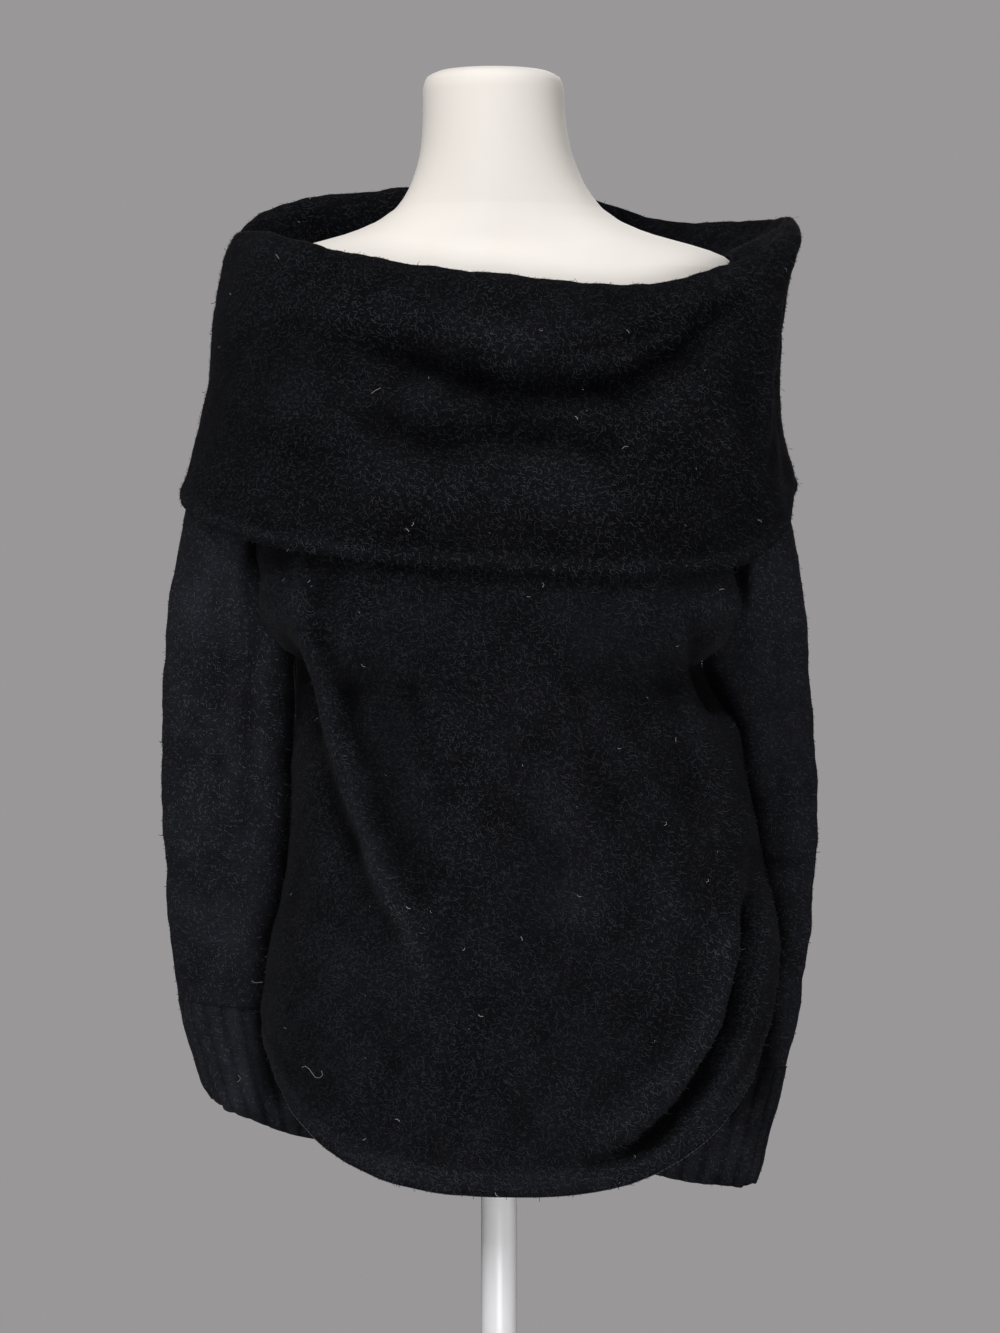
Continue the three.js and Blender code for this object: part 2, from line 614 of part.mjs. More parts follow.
function makeForm() {
  const heights = FORM_SECTIONS.map((row) => row.height);
  const levels = heights.flatMap((height, i) => {
    const next = heights[i + 1];
    return next !== undefined && next - height > FORM_ROW_MAX ? [height, (height + next) / 2] : [height];
  });
  const points = [];
  const faces = [];
  for (const height of levels) {
    for (let column = 0; column < FORM_COLUMNS; column += 1) {
      points.push(formPoint((column / FORM_COLUMNS) * 2 * Math.PI, height));
    }
  }
  const underside = points.push(new THREE.Vector3(0, 0, FORM_BOTTOM)) - 1;
  const crown = points.push(new THREE.Vector3(FORM_SECTIONS.at(-1).middle, 0, FORM_TOP + 1)) - 1;
  const last = (levels.length - 1) * FORM_COLUMNS;
  for (let column = 0; column < FORM_COLUMNS; column += 1) {
    const next = (column + 1) % FORM_COLUMNS;
    faces.push([underside, next, column], [crown, last + column, last + next]);
    for (let row = 0; row < levels.length - 1; row += 1) {
      const start = row * FORM_COLUMNS;
      const above = start + FORM_COLUMNS;
      faces.push([start + column, start + next, above + next]);
      faces.push([start + column, above + next, above + column]);
    }
  }
  return meshOf('form_torso', turnedOut(geometryOf(points, faces)), 'form');
}

function makeStand() {
  const socket = POLE_RADIUS + SEAM_GAP;
  const profile = [
    [0, 0],
    [BASE_RADIUS - 1, 0],
    [BASE_RADIUS, 1],
    [BASE_RADIUS, BASE_HEIGHT - BASE_CHAMFER],
    [BASE_RADIUS - BASE_CHAMFER, BASE_HEIGHT],
    [HUB_RADIUS, BASE_HEIGHT],
    [HUB_RADIUS - HUB_TAPER, HUB_HEIGHT],
    [socket, HUB_HEIGHT],
    [socket, BASE_HEIGHT],
    [0, BASE_HEIGHT],
  ].map(([radius, height]) => new THREE.Vector2(radius, height));
  const base = new THREE.LatheGeometry(profile, BASE_COLUMNS);
  base.rotateX(Math.PI / 2);
  const poleFoot = BASE_HEIGHT + SEAM_GAP;
  const poleLength = FORM_BOTTOM - SEAM_GAP - poleFoot;
  const pole = new THREE.CylinderGeometry(POLE_RADIUS, POLE_RADIUS, poleLength, POLE_COLUMNS);
  pole.rotateX(Math.PI / 2);
  pole.translate(0, 0, poleFoot + poleLength / 2);
  return [meshOf('stand_base', base, 'stand'), meshOf('stand_pole', pole, 'stand')];
}

function makePanel(name, front) {
  const surface = panelSurface(front);
  const sideways = front ? -SEAM_GAP / 2 : SEAM_GAP / 2;
  const geometry = clothWall({
    surface,
    columns: front ? FRONT_COLUMNS : BACK_COLUMNS,
    downs: stationsDown(BODY_ROWS),
    closed: false,
    wall: CLOTH_WALL,
    facing: front ? -1 : 1,
    shift: (atSeam, down) => {
      const nearUnderarm = Math.exp(-(((down - 0.5) / UNDERARM_SPREAD_SHARE) ** 2));
      return new THREE.Vector3(0, atSeam ? sideways * (1 + UNDERARM_SPREAD * nearUnderarm) : 0, 0);
    },
    square: (across, down) => {
      const atSeam = across === 0 || across === 1;
      return atSeam && down >= 0.5 ? new THREE.Vector3(across === 0 ? -1 : 1, 0, 0) : null;
    },
  });
  return meshOf(name, geometry, 'knit');
}

function makeSleeve(name, sleeve) {
  const surface = sleeveSurface(sleeve);
  const shaped = (around, down) => {
    const top = necklineHeight((2 * around - 1) * armholeAngle(NECKLINE_SIDE) * DEGREE);
    return surface(around, heightDown(top, sleeve.cuffTop, down));
  };
  const geometry = clothWall({
    surface: shaped,
    columns: SLEEVE_COLUMNS,
    downs: stationsDown(SLEEVE_ROWS),
    closed: false,
    wall: CLOTH_WALL,
    facing: sleeve.side > 0 ? -1 : 1,
  });
  return meshOf(name, geometry, 'rib');
}

function makeCuff(name, sleeve) {
  const surface = sleeveSurface(sleeve);
  const top = sleeve.cuffTop - SEAM_GAP;
  const shaped = (around, down) => {
    const share = THREE.MathUtils.euclideanModulo(around, 1);
    return surface(share, top + (sleeve.end - top) * down);
  };
  const geometry = clothWall({
    surface: shaped,
    columns: CUFF_RIBS * COLUMNS_PER_RIB,
    downs: evenShares(CUFF_ROWS),
    closed: true,
    wall: CLOTH_WALL,
    facing: sleeve.side > 0 ? -1 : 1,
    raised: (column) => RIB_HEIGHT * (column % COLUMNS_PER_RIB === 0 ? -RIB_VALLEY : 1 - RIB_VALLEY),
  });
  return meshOf(name, geometry, 'rib');
}

function makeCowl() {
  const geometry = clothWall({
    surface: cowlSurface,
    columns: COWL_COLUMNS,
    downs: evenShares(COWL_ROWS),
    closed: true,
    wall: COWL_WALL,
    facing: 1,
  });
  return meshOf('cowl_collar', geometry, 'knit');
}

const sweater = new THREE.Group();
sweater.add(...makeStand(), makeForm());
sweater.add(makePanel('body_front', true), makePanel('body_back', false));
for (const [name, sleeve] of Object.entries(SLEEVES)) {
  sweater.add(makeSleeve(name, sleeve), makeCuff(name.replace('sleeve', 'cuff'), sleeve));
}
sweater.add(makeCowl());

export default sweater;
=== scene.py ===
"""The looks of a cowl neck sweater on a limbless dress form with a round stand.

Sizes in the tables are millimetres. The front faces -Y and the wearer's left side is at +X.
"""

import json
import math

import bpy
import numpy as np
from bpy.props import FloatProperty, FloatVectorProperty, IntProperty, PointerProperty
from bpy.types import Operator, Panel, PropertyGroup
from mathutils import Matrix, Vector
from mathutils.bvhtree import BVHTree

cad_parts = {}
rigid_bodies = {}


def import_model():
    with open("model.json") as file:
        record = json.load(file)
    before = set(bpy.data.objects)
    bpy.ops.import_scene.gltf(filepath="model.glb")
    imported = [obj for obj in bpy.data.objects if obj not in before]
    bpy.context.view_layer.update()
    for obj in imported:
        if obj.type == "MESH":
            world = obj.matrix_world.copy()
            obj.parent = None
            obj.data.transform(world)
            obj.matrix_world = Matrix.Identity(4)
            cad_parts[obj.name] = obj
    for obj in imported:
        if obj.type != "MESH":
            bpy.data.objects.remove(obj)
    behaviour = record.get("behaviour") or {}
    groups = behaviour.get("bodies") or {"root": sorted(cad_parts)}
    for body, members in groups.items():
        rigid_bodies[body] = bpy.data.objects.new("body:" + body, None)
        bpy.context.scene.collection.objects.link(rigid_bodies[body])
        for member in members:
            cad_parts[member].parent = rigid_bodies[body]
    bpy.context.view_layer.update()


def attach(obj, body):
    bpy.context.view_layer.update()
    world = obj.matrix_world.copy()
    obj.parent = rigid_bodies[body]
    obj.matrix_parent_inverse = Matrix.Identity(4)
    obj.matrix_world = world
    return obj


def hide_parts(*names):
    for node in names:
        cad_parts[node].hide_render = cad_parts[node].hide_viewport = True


bl_info = {
    "name": "Cowl Neck Sweater",
    "version": (1, 0, 0),
    "blender": (4, 5, 0),
    "location": "3D View > Sidebar > Sweater",
    "description": "Builds the sweater's cloth, its dress form and the stage around the packed model",
    "category": "Add Mesh",
}

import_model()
MM = 0.001
TINY = 1e-6


def table(columns, *rows):
    """Rows of a table with named columns."""
    return [dict(zip(columns.split(), row)) for row in rows]


# Driving sizes
COWL_WALL = 3.4
BODY_WALL = 3.0
SEAM_GAP = 0.3
REST_GAP = 1.1
BASE_RADIUS = 150
BASE_HEIGHT = 8
BASE_ROUND = 3
HUB_RADIUS = 24
HUB_HEIGHT = 30
POLE_RADIUS = 14
FORM_BOTTOM = 716
FORM_TOP = 1495
NECKLINE = {"front": 1292, "side": 1351, "back": 1346, "power": 1.6}
UNDERARM = 1052
HEM = {"front": 634, "back": 632, "right": 760, "left": 780, "corner": 0.985, "round": 2.6, "flat": 2.3}

# How the body's panels meet the sleeves, and where both come to rest on the form's shoulders
BACK_POWER = 2.04
SWELL_FULL = 0.6
SEAM_CALM = 0.2
UNDERARM_REACH = 0.24
REACH_POWER = 1.5
UNDERARM_BLEND = 70
UNDERARM_GAP = 1.4
UNDERARM_GAP_HEIGHT = 22
PANEL_CLEARANCE = 0.1
YOKE = (1236, 1290)
YOKE_SLEEVE = (1284, 1332)

# The body's right side swells out below the underarm: how far, how high up, and its spread
SIDE_BULGE = 3.2
SIDE_BULGE_HEIGHT = 1034
SIDE_BULGE_SPREAD = (0.035, 26)

# Hems have a fine thickening, which starts at a share of the way down, and a painted highlight along
# them
HEM_BEAD = 1.3
HEM_HIGHLIGHT = 6
BODY_BEAD_SHARE = 0.7
BODY_HEM_START = 0.975
COWL_HEM_START = 0.98
COWL_HEM_BAND = 0.97

# Painted shade on cloth between others: how deep a trough it counts as, how far in, and at which heights
BESIDE_SHADE_DEPTH = 7
BESIDE_SHADE_REACH = 11
BODY_BESIDE_LOW = (800, 860)
BODY_BESIDE_HIGH = (UNDERARM + 60, UNDERARM + 100)
SLEEVE_BESIDE_LOW = (640, 740)

# Painted shade in the gap between the body and the left sleeve, below the cowl: depth, x, z and its
# spread
SLEEVE_GAP_SHADE = {"depth": 8, "x": 191, "z": 1100, "spread_x": 5, "spread_z": 30}

CUFF_RIBS = 20
RIB_HEIGHT = 1.5
RIB_VALLEY = 0.17
CUFF_DRAWN_IN = 2.4
CUFF_DRAWN_FROM = 0.8
CUFF_WAVE = 1.2
CUFF_CORNER = 6
CUFF_CORNER_FROM = 0.72

# Steps of each cloth's grid, and how many of them count as the cloth around a place
FRONT_COLUMNS = 120
BACK_COLUMNS = 104
BODY_ROWS = (56, 80)
SLEEVE_STEPS = 88
SLEEVE_ROWS = (46, 76)
CUFF_ROWS = 18
RIB_STEPS = 12
COWL_STEPS = 226
COWL_ROWS = (98, 7)
RELIEF_SPREAD = 4

# How far the round edges of cloth reach out: where it is sewn, at hems, and at the cowl's hem
SEWN_EDGE = 0.1
HEM_EDGE = 1.4
COWL_HEM_EDGE = 1.6

# Rows of an edge: shares of half the wall's thickness, and of how far the edge reaches out
EDGE_PROFILE = ((0.87, 0.5), (0.5, 0.87))

# Troughs this deep get the darkest painted shade, and ridges this high the lightest painted highlight
FOLD_HEIGHT = 5.0

# Sections of the form, from its bottom to its top
FORM_SECTIONS = table(
    "height middle half_width front back power",
    (FORM_BOTTOM, 0, 132, 84, 70, 2.2),
    (721, 0, 146, 93, 79, 2.2),
    (732, 0, 154, 98, 83, 2.2),
    (800, 0, 160, 104, 87, 2.2),
    (860, 0, 161, 103, 87, 2.2),
    (930, 0, 151, 94, 80, 2.2),
    (1000, 0, 133, 84, 78, 2.2),
    (1050, 0, 124, 80, 75, 2.2),
    (1100, 0, 128, 88, 77, 2.2),
    (1160, 0, 140, 106, 84, 2.2),
    (1215, 0, 151, 122, 91, 2.2),
    (1255, 0, 160, 117, 95, 2.2),
    (1295, 0, 174, 99, 95, 2.3),
    (1322, 0, 185, 81, 88, 2.4),
    (1340, 0, 186, 69, 80, 2.4),
    (1351, 0, 176, 61, 73, 2.3),
    (1360, 0, 151, 56, 68, 2.2),
    (1368, 0, 122, 54, 64, 2.1),
    (1378, 0, 97, 52, 61, 2),
    (1390, 0, 80, 50, 58, 2),
    (1409, -1, 67.5, 50, 55, 2),
    (1434, -2.5, 59, 50, 52, 2),
    (1462, -4, 55.5, 50, 50, 2),
    (1482, -4.5, 55, 50, 50, 2),
    (1491, -4.5, 52, 47, 47, 2),
    (FORM_TOP, -4.5, 44, 39, 39, 2),
)

# The body's two side seams, its depth front and back, and how far its front swells past the seams
BODY_SECTIONS = table(
    "height right left front back power swell",
    (600, -182, 208, 112, 88, 2.3, 0),
    (680, -185, 211, 118, 93, 2.3, 0),
    (760, -185, 214, 121, 99, 2.3, 0),
    (811, -179, 218, 122, 101, 2.3, 0),
    (850, -170, 214, 122, 101, 2.2, 0),
    (885, -164, 205, 121, 100, 2.15, 0),
    (930, -162, 196, 122, 96, 2.1, 0),
    (975, -160, 188, 124, 93, 2.1, 0),
    (1012, -158, 172, 126, 92, 2.1, 0),
    (1032, -159, 163, 127, 92, 2.15, 0.1),
    (UNDERARM, -161, 159, 128, 93, 2.2, 0.25),
    (1075, -170, 168, 129, 94, 2.3, 0.26),
    (1110, -178, 180, 129, 96, 2.3, 0.17),
    (1160, -182, 188, 129, 98, 2.3, 0.15),
    (1215, -184, 190, 128, 100, 2.3, 0.12),
    (1260, -190, 193, 122, 101, 2.3, 0.06),
    (1300, -198, 199, 104, 100, 2.3, 0),
)

# Half the angle that an armhole takes of the yoke, at each height
ARMHOLE_ANGLES = table(
    "height angle",
    (UNDERARM, 0),
    (1072, 9),
    (1115, 21),
    (1200, 25),
    (NECKLINE["front"], 24),
    (NECKLINE["side"], 24),
)

# Sections of the sleeves. opening is half the angle that is open towards the body.
SLEEVE_COLUMNS = "height outer width middle depth opening drop"
SLEEVES = {
    "right": {
        "side": -1,
        "cuff_top": 760,
        "end": 667,
        "sections": table(
            SLEEVE_COLUMNS,
            (667, 232, 95, 89, 45, 0.4, 28),
            (700, 242, 98, 87, 46, 0.4, 22),
            (760, 256, 104, 81, 48, 0.4, 12),
            (805, 261, 107, 74, 50, 0.4, 4),
            (860, 265, 108, 65, 53, 0.4, 0),
            (930, 267, 108, 53, 57, 0.4, 0),
            (1000, 266, 107, 41, 62, 0.4, 0),
            (UNDERARM, 263, 104, 30, 68, 0.6, 0),
            (1076, 260, 102, 25, 74, 38, 0),
            (1120, 252, 101, 17, 84, 74, 0),
            (1200, 234, 96, 8, 96, 88, 0),
            (1270, 219, 78, 4, 98, 96, 0),
            (1315, 210, 58, 3, 88, 100, 0),
            (NECKLINE["side"], 190, 40, 3, 50, 102, 0),
        ),
    },
    "left": {
        "side": 1,
        "cuff_top": 716,
        "end": 620,
        "sections": table(
            SLEEVE_COLUMNS,
            (620, 208, 98, 104, 42, 0.4, -18),
            (680, 222, 99, 103, 43, 0.4, -15),
            (740, 237, 100, 102, 44, 0.4, -10),
            (790, 246, 100, 101, 45, 0.4, -4),
            (850, 253, 99, 96, 46, 0.4, 0),
            (920, 255, 97, 85, 50, 0.4, 0),
            (990, 250, 90, 67, 55, 0.4, 0),
            (UNDERARM, 244, 83, 46, 62, 0.6, 0),
            (1076, 241, 82, 37, 72, 38, 0),
            (1120, 235, 87, 24, 84, 74, 0),
            (1200, 220, 86, 10, 96, 88, 0),
            (1270, 214, 72, 4, 98, 96, 0),
            (1315, 209, 56, 3, 88, 100, 0),
            (NECKLINE["side"], 190, 40, 3, 50, 102, 0),
        ),
    },
}

# Heights of the cowl's roll and of its hem, by the angle from the wearer's left side to the back
COWL_EDGES = table(
    "angle roll hem",
    (0, 1383, 1170),
    (25, 1385, 1156),
    (55, 1388, 1136),
    (90, 1417, 1124),
    (112, 1416, 1129),
    (125, 1411, 1134),
    (142, 1403, 1144),
    (155, 1393, 1152),
    (180, 1371, 1165),
    (205, 1366, 1143),
    (235, 1347, 1121),
    (265, 1329, 1107),
    (290, 1320, 1101),
    (315, 1337, 1107),
    (340, 1362, 1138),
)

# Loops round the cowl, from the rise to the hem: shares of the fall, and sizes below the roll
COWL_LOOPS = table(
    "right left front back power fall below",
    (-192, 216, 99, 88, 2.3, 0, 9),
    (-201, 227, 111, 98, 2.3, 0, 0),
    (-210, 235, 125, 107, 2.3, 0, 11),
    (-219, 227, 143, 117, 2.35, 0.28, 0),
    (-226, 222, 151, 120, 2.35, 0.64, 0),
    (-247, 233, 146, 122, 2.35, 1, 0),
)
COWL_RISE_SAG = 0.06
COWL_FALL = (0.58, 0.72)
COWL_EDGE = (0.9, 1)
COWL_EDGE_CALM = 0.7
COWL_LIFT = 0.2
COWL_SIDES = (0.05, 0.4)

# Folds are soft ridges (height above 0) and troughs (below 0) along a line of x, z points.
# Over a share of their length, both ends fade to a share of the height.
FADED_END = 0.25
FADE_SHARE = 0.22
FOLD_COLUMNS = "height width line"
FRONT_FOLDS = table(
    FOLD_COLUMNS,
    (9, 9, [(-156, 1115), (-143, 1054), (-129, 993), (-113, 944), (-93, 887), (-66, 829), (-54, 797)]),
    (-2.5, 22, [(-112, 1010), (-88, 935), (-62, 876), (-38, 832)]),
    (10, 16, [(-182, 1110), (-164, 1074), (-146, 1046)]),
    (-12, 11, [(-172, 1072), (-164, 1046), (-152, 1010), (-146, 970)]),
    (13, 19, [(172, 1112), (178, 1070)]),
    (-12, 11, [(160, 1040), (165, 1016), (172, 990)]),
    (6, 16, [(150, 1050), (158, 985), (172, 930), (182, 870)]),
    (-13, 8, [
        (197, 886), (193, 834), (181, 767), (166, 738), (150, 714), (130, 690), (108, 672), (70, 659)
    ]),
    (6, 16, [(176, 870), (172, 820), (158, 762), (132, 720), (98, 690), (56, 674)]),
    (5, 24, [(30, 980), (60, 900), (70, 820)]),
)
FRONT_CREASES = table(
    FOLD_COLUMNS,
    (4.5, 4.5, [(-157, 1130), (-146, 1082), (-131, 1022), (-108, 932), (-82, 857), (-44, 796)]),
    (-5, 12, [(-172, 1066), (-160, 1030), (-146, 985), (-128, 930), (-100, 866)]),
    (-7, 9, [(154, 1066), (160, 1030), (176, 996)]),
    (-4, 6, [(146, 1068), (149, 1030), (155, 995), (160, 950)]),
    (4, 12, [(146, 1010), (156, 960), (166, 910)]),
    (-4, 5, [(195, 850), (190, 806), (181, 767), (166, 738), (150, 714), (130, 690), (104, 670)]),
    (4, 8, [(205, 840), (200, 800), (187, 752), (163, 705), (122, 666), (80, 650)]),
    (3, 9, [(178, 850), (170, 790), (156, 748), (132, 708), (100, 682)]),
    (-2.2, 7, [(-168, 1100), (-152, 1048), (-140, 1004)]),
    (1.6, 8, [(-120, 1080), (-104, 1010), (-90, 962)]),
    (-1.5, 9, [(-76, 1040), (-52, 960), (-30, 902)]),
    (1.2, 10, [(-20, 1010), (2, 940), (10, 880)]),
    (-1.6, 10, [(40, 1060), (62, 990), (74, 940)]),
    (1.5, 9, [(112, 1060), (120, 1000), (126, 960)]),
    (-2.0, 7, [(150, 1086), (148, 1050), (156, 1024)]),
    (1.4, 11, [(120, 900), (128, 830), (118, 770)]),
    (-1.3, 12, [(88, 860), (96, 790), (84, 730)]),
    (1.2, 12, [(-120, 840), (-128, 780), (-118, 720)]),
    (-1.4, 10, [(-92, 800), (-86, 740), (-66, 690)]),
    (1.1, 12, [(-40, 760), (-20, 700), (6, 664)]),
    (-1.1, 11, [(20, 800), (34, 740), (36, 700)]),
    (-1.8, 6, [(-150, 900), (-160, 840), (-158, 790)]),
)
BACK_FOLDS = table(
    FOLD_COLUMNS,
    (8, 18, [(-150, 1090), (-118, 1000), (-72, 900), (-50, 830)]),
    (-7, 20, [(-95, 1010), (-50, 900), (-20, 840)]),
    (7, 18, [(150, 1100), (124, 1010), (92, 930), (80, 870)]),
    (-6, 20, [(96, 1030), (52, 950), (36, 870)]),
    (5, 26, [(0, 1120), (10, 1000), (6, 900)]),
)
BACK_CREASES = table(
    FOLD_COLUMNS,
    (-2.0, 8, [(-134, 1070), (-112, 980), (-88, 920)]),
    (1.6, 9, [(-60, 1080), (-44, 1000), (-30, 950)]),
    (-1.7, 9, [(40, 1090), (36, 1000), (30, 940)]),
    (1.5, 10, [(70, 1050), (62, 960), (54, 900)]),
    (-2.1, 8, [(132, 1060), (116, 980), (104, 930)]),
    (1.4, 12, [(-110, 860), (-118, 780), (-104, 710)]),
    (-1.5, 11, [(-70, 830), (-66, 750), (-50, 690)]),
    (1.3, 12, [(20, 850), (26, 770), (20, 700)]),
    (-1.4, 12, [(80, 840), (92, 770), (86, 700)]),
    (1.6, 10, [(140, 860), (152, 800), (150, 750)]),
)
COWL_FOLDS = table(
    FOLD_COLUMNS,
    (-11, 20, [
        (-162, 1286), (-89, 1266), (-50, 1254), (4, 1238), (54, 1238),
        (95, 1243), (142, 1270), (171, 1308), (196, 1332), (216, 1352),
    ]),
    (-8, 18, [(-122, 1228), (-89, 1214), (-45, 1202), (1, 1206), (55, 1204), (120, 1185)]),
    (2, 13, [(-80, 1241), (0, 1223), (60, 1221), (110, 1222)]),
    (6, 20, [(-160, 1314), (-80, 1297), (0, 1283), (50, 1284)]),
    (5, 26, [(-150, 1174), (-40, 1158), (60, 1154), (150, 1156)]),
)
COWL_CREASES = table(
    FOLD_COLUMNS,
    (-2, 14, [(-20, 1244), (4, 1238), (60, 1237), (110, 1246), (160, 1290)]),
    (-5, 8, [(46, 1262), (84, 1275), (138, 1293), (171, 1308), (190, 1322)]),
    (-5, 12, [(140, 1268), (172, 1306), (198, 1333), (220, 1356)]),
    (3, 10, [(160, 1262), (190, 1296), (212, 1322)]),
    (-3, 34, [(-70, 1240), (20, 1224), (110, 1234)]),
    (-3, 5, [(213, 1270), (208, 1225), (207, 1190), (200, 1160)]),
    (2, 6, [(203, 1262), (198, 1225), (196, 1190)]),
    (3, 7, [(40, 1252), (90, 1258), (150, 1290)]),
    (-2.5, 8, [(-150, 1262), (-104, 1246), (-64, 1236)]),
    (1.8, 9, [(-176, 1240), (-140, 1222), (-100, 1206)]),
    (-1.8, 9, [(-186, 1206), (-150, 1194), (-120, 1190)]),
    (1.6, 10, [(-20, 1186), (40, 1184), (90, 1182)]),
    (-1.6, 10, [(70, 1172), (120, 1164), (166, 1174)]),
    (-1.8, 8, [(176, 1270), (186, 1230), (190, 1190)]),
    (1.6, 9, [(160, 1250), (170, 1214), (172, 1176)]),
    (-1.4, 11, [(-90, 1142), (-20, 1132), (40, 1130)]),
    (1.2, 9, [(-60, 1312), (10, 1302), (70, 1304)]),
)
COWL_BACK_FOLDS = table(
    FOLD_COLUMNS,
    (-5, 14, [(-170, 1318), (-90, 1290), (0, 1272), (80, 1286), (170, 1322)]),
    (4, 16, [(-150, 1280), (-60, 1248), (40, 1244), (140, 1270)]),
    (-4, 14, [(-130, 1226), (-40, 1208), (50, 1206), (130, 1216)]),
    (3, 18, [(-150, 1180), (0, 1166), (150, 1178)]),
    (-1.8, 8, [(-60, 1340), (0, 1330), (60, 1338)]),
    (1.5, 9, [(20, 1310), (80, 1322), (130, 1340)]),
)
# Upright folds of the cowl, by their angle and their width in degrees
COWL_SIDE_FOLDS = table(
    "angle height width",
    (352, -9, 9),
    (332, 5, 12),
    (62, -6, 12),
    (118, -6, 13),
    (196, 4, 14),
)
SLEEVE_FOLDS = {
    "right": {
        "front": table(
            FOLD_COLUMNS,
            (-2.6, 5, [(-192, 1150), (-192, 1040), (-196, 960), (-200, 900)]),
            (2.2, 7, [(-183, 1130), (-183, 1040), (-187, 950)]),
            (-1.4, 5, [(-217, 1120), (-219, 1000), (-222, 900)]),
            (2.0, 9, [(-252, 1010), (-226, 990), (-204, 984)]),
            (-2.0, 8, [(-258, 972), (-230, 958), (-206, 960)]),
            (1.6, 9, [(-262, 900), (-236, 886), (-210, 892)]),
            (-1.8, 8, [(-262, 868), (-232, 852), (-204, 858)]),
            (1.4, 8, [(-254, 820), (-226, 812), (-200, 818)]),
            (-1.3, 7, [(-252, 792), (-224, 782), (-198, 790)]),
        ),
        "back": table(
            FOLD_COLUMNS,
            (2.4, 9, [(-176, 1010), (-212, 992), (-250, 1000)]),
            (-2.4, 9, [(-170, 966), (-208, 946), (-254, 958)]),
            (2.0, 9, [(-176, 900), (-214, 888), (-250, 894)]),
            (-2.0, 9, [(-180, 846), (-214, 836), (-248, 840)]),
        ),
    },
    "left": {
        "front": table(
            FOLD_COLUMNS,
            (-3.2, 4.5, [(250, 881), (232, 877), (212, 880)]),
            (1.8, 8, [(252, 862), (232, 858), (212, 862)]),
            (-1.6, 7, [(250, 1010), (226, 1000), (204, 1004)]),
            (1.8, 8, [(246, 980), (224, 968), (202, 974)]),
            (-1.4, 5, [(220, 1120), (222, 1000), (226, 900), (222, 800)]),
            (1.5, 8, [(244, 790), (222, 780), (200, 786)]),
            (-1.4, 7, [(238, 760), (216, 748), (196, 754)]),
        ),
        "back": table(
            FOLD_COLUMNS,
            (2.2, 9, [(166, 1000), (200, 986), (240, 994)]),
            (-2.3, 9, [(164, 950), (204, 936), (244, 944)]),
            (2.0, 9, [(170, 890), (206, 876), (244, 884)]),
            (-2.0, 9, [(168, 830), (204, 818), (240, 826)]),
            (1.5, 9, [(160, 780), (196, 768), (230, 776)]),
        ),
    },
}

# Gentle rises and dips all over the cloth, as waves of x, y, z.
UNEVEN = table(
    "height x y z phase",
    (0.50, 0.062, 0.041, 0.085, 0.4),
    (0.42, -0.110, 0.055, 0.052, 2.1),
    (0.34, 0.135, -0.090, -0.118, 4.0),
    (0.26, 0.210, 0.120, 0.174, 1.2),
    (0.20, -0.260, 0.190, 0.290, 5.1),
    (0.14, 0.420, -0.310, 0.360, 3.3),
)


def smooth_step(value, low, high):
    """0 below low, 1 above high, and a soft rise between them."""
    share = np.clip((value - low) / (high - low), 0, 1)
    return share * share * (3 - 2 * share)


def table_curve(rows, along, column):
    """A smooth curve through one column of a table, that never overshoots its rows."""
    ordered = sorted(rows, key=lambda row: row[along])
    places = np.array([row[along] for row in ordered], float)
    values = np.array([row[column] for row in ordered], float)
    steps = np.diff(values) / np.diff(places)
    before = np.concatenate((steps[:1], steps))
    after = np.concatenate((steps, steps[-1:]))
    total = np.where(before + after == 0, 1, before + after)
    slopes = np.where(before * after <= 0, 0, 2 * before * after / total)

    def at(place):
        inside = np.clip(place, places[0], places[-1])
        i = np.clip(np.searchsorted(places, inside) - 1, 0, len(places) - 2)
        width = places[i + 1] - places[i]
        share = (inside - places[i]) / width
        square = share * share
        cube = square * share
        return (
            values[i] * (2 * cube - 3 * square + 1)
            + slopes[i] * width * (cube - 2 * square + share)
            + values[i + 1] * (3 * square - 2 * cube)
            + slopes[i + 1] * width * (cube - square)
        )

    return at


def curves_of(rows, along):
    """A call that gives every column of a table at a place along one of them."""
    curves = {name: table_curve(rows, along, name) for name in rows[0] if name != along}
    return lambda place: {name: curve(place) for name, curve in curves.items()}


def unit(vectors):
    return vectors / np.maximum(np.linalg.norm(vectors, axis=-1, keepdims=True), 1e-9)


def mixed(start, end, share):
    """Points between start and end, by a share for each."""
    share = np.asarray(share)[..., None]
    return start * (1 - share) + end * share


def signed_power(value, power):
    return np.sign(value) * np.abs(value) ** power


def oval_powers(section, deep):
    """An oval's depth and power on its front side or its back side."""
    depth = np.where(deep < 0, section["front"], section["back"])
    power = np.where(deep < 0, section["power"], section.get("back_power", section["power"]))
    return depth, power


def oval_point(section, angle, height):
    """A point on a level oval with its own depth to the front and back."""
    across = np.cos(angle)
    deep = np.sin(angle)
    depth, power = oval_powers(section, deep)
    x = section["middle"] + section["half_width"] * signed_power(across, 2 / power)
    y = depth * signed_power(deep, 2 / power)
    return np.stack(np.broadcast_arrays(x, y, height), axis=-1)


def oval_outward(section, angle):
    """The level direction that stands square on an oval."""
    across = np.cos(angle)
    deep = np.sin(angle)
    depth, power = oval_powers(section, deep)
    x = signed_power(across, 2 - 2 / power) / section["half_width"]
    y = signed_power(deep, 2 - 2 / power) / depth
    return unit(np.stack(np.broadcast_arrays(x, y, np.zeros_like(x)), axis=-1))


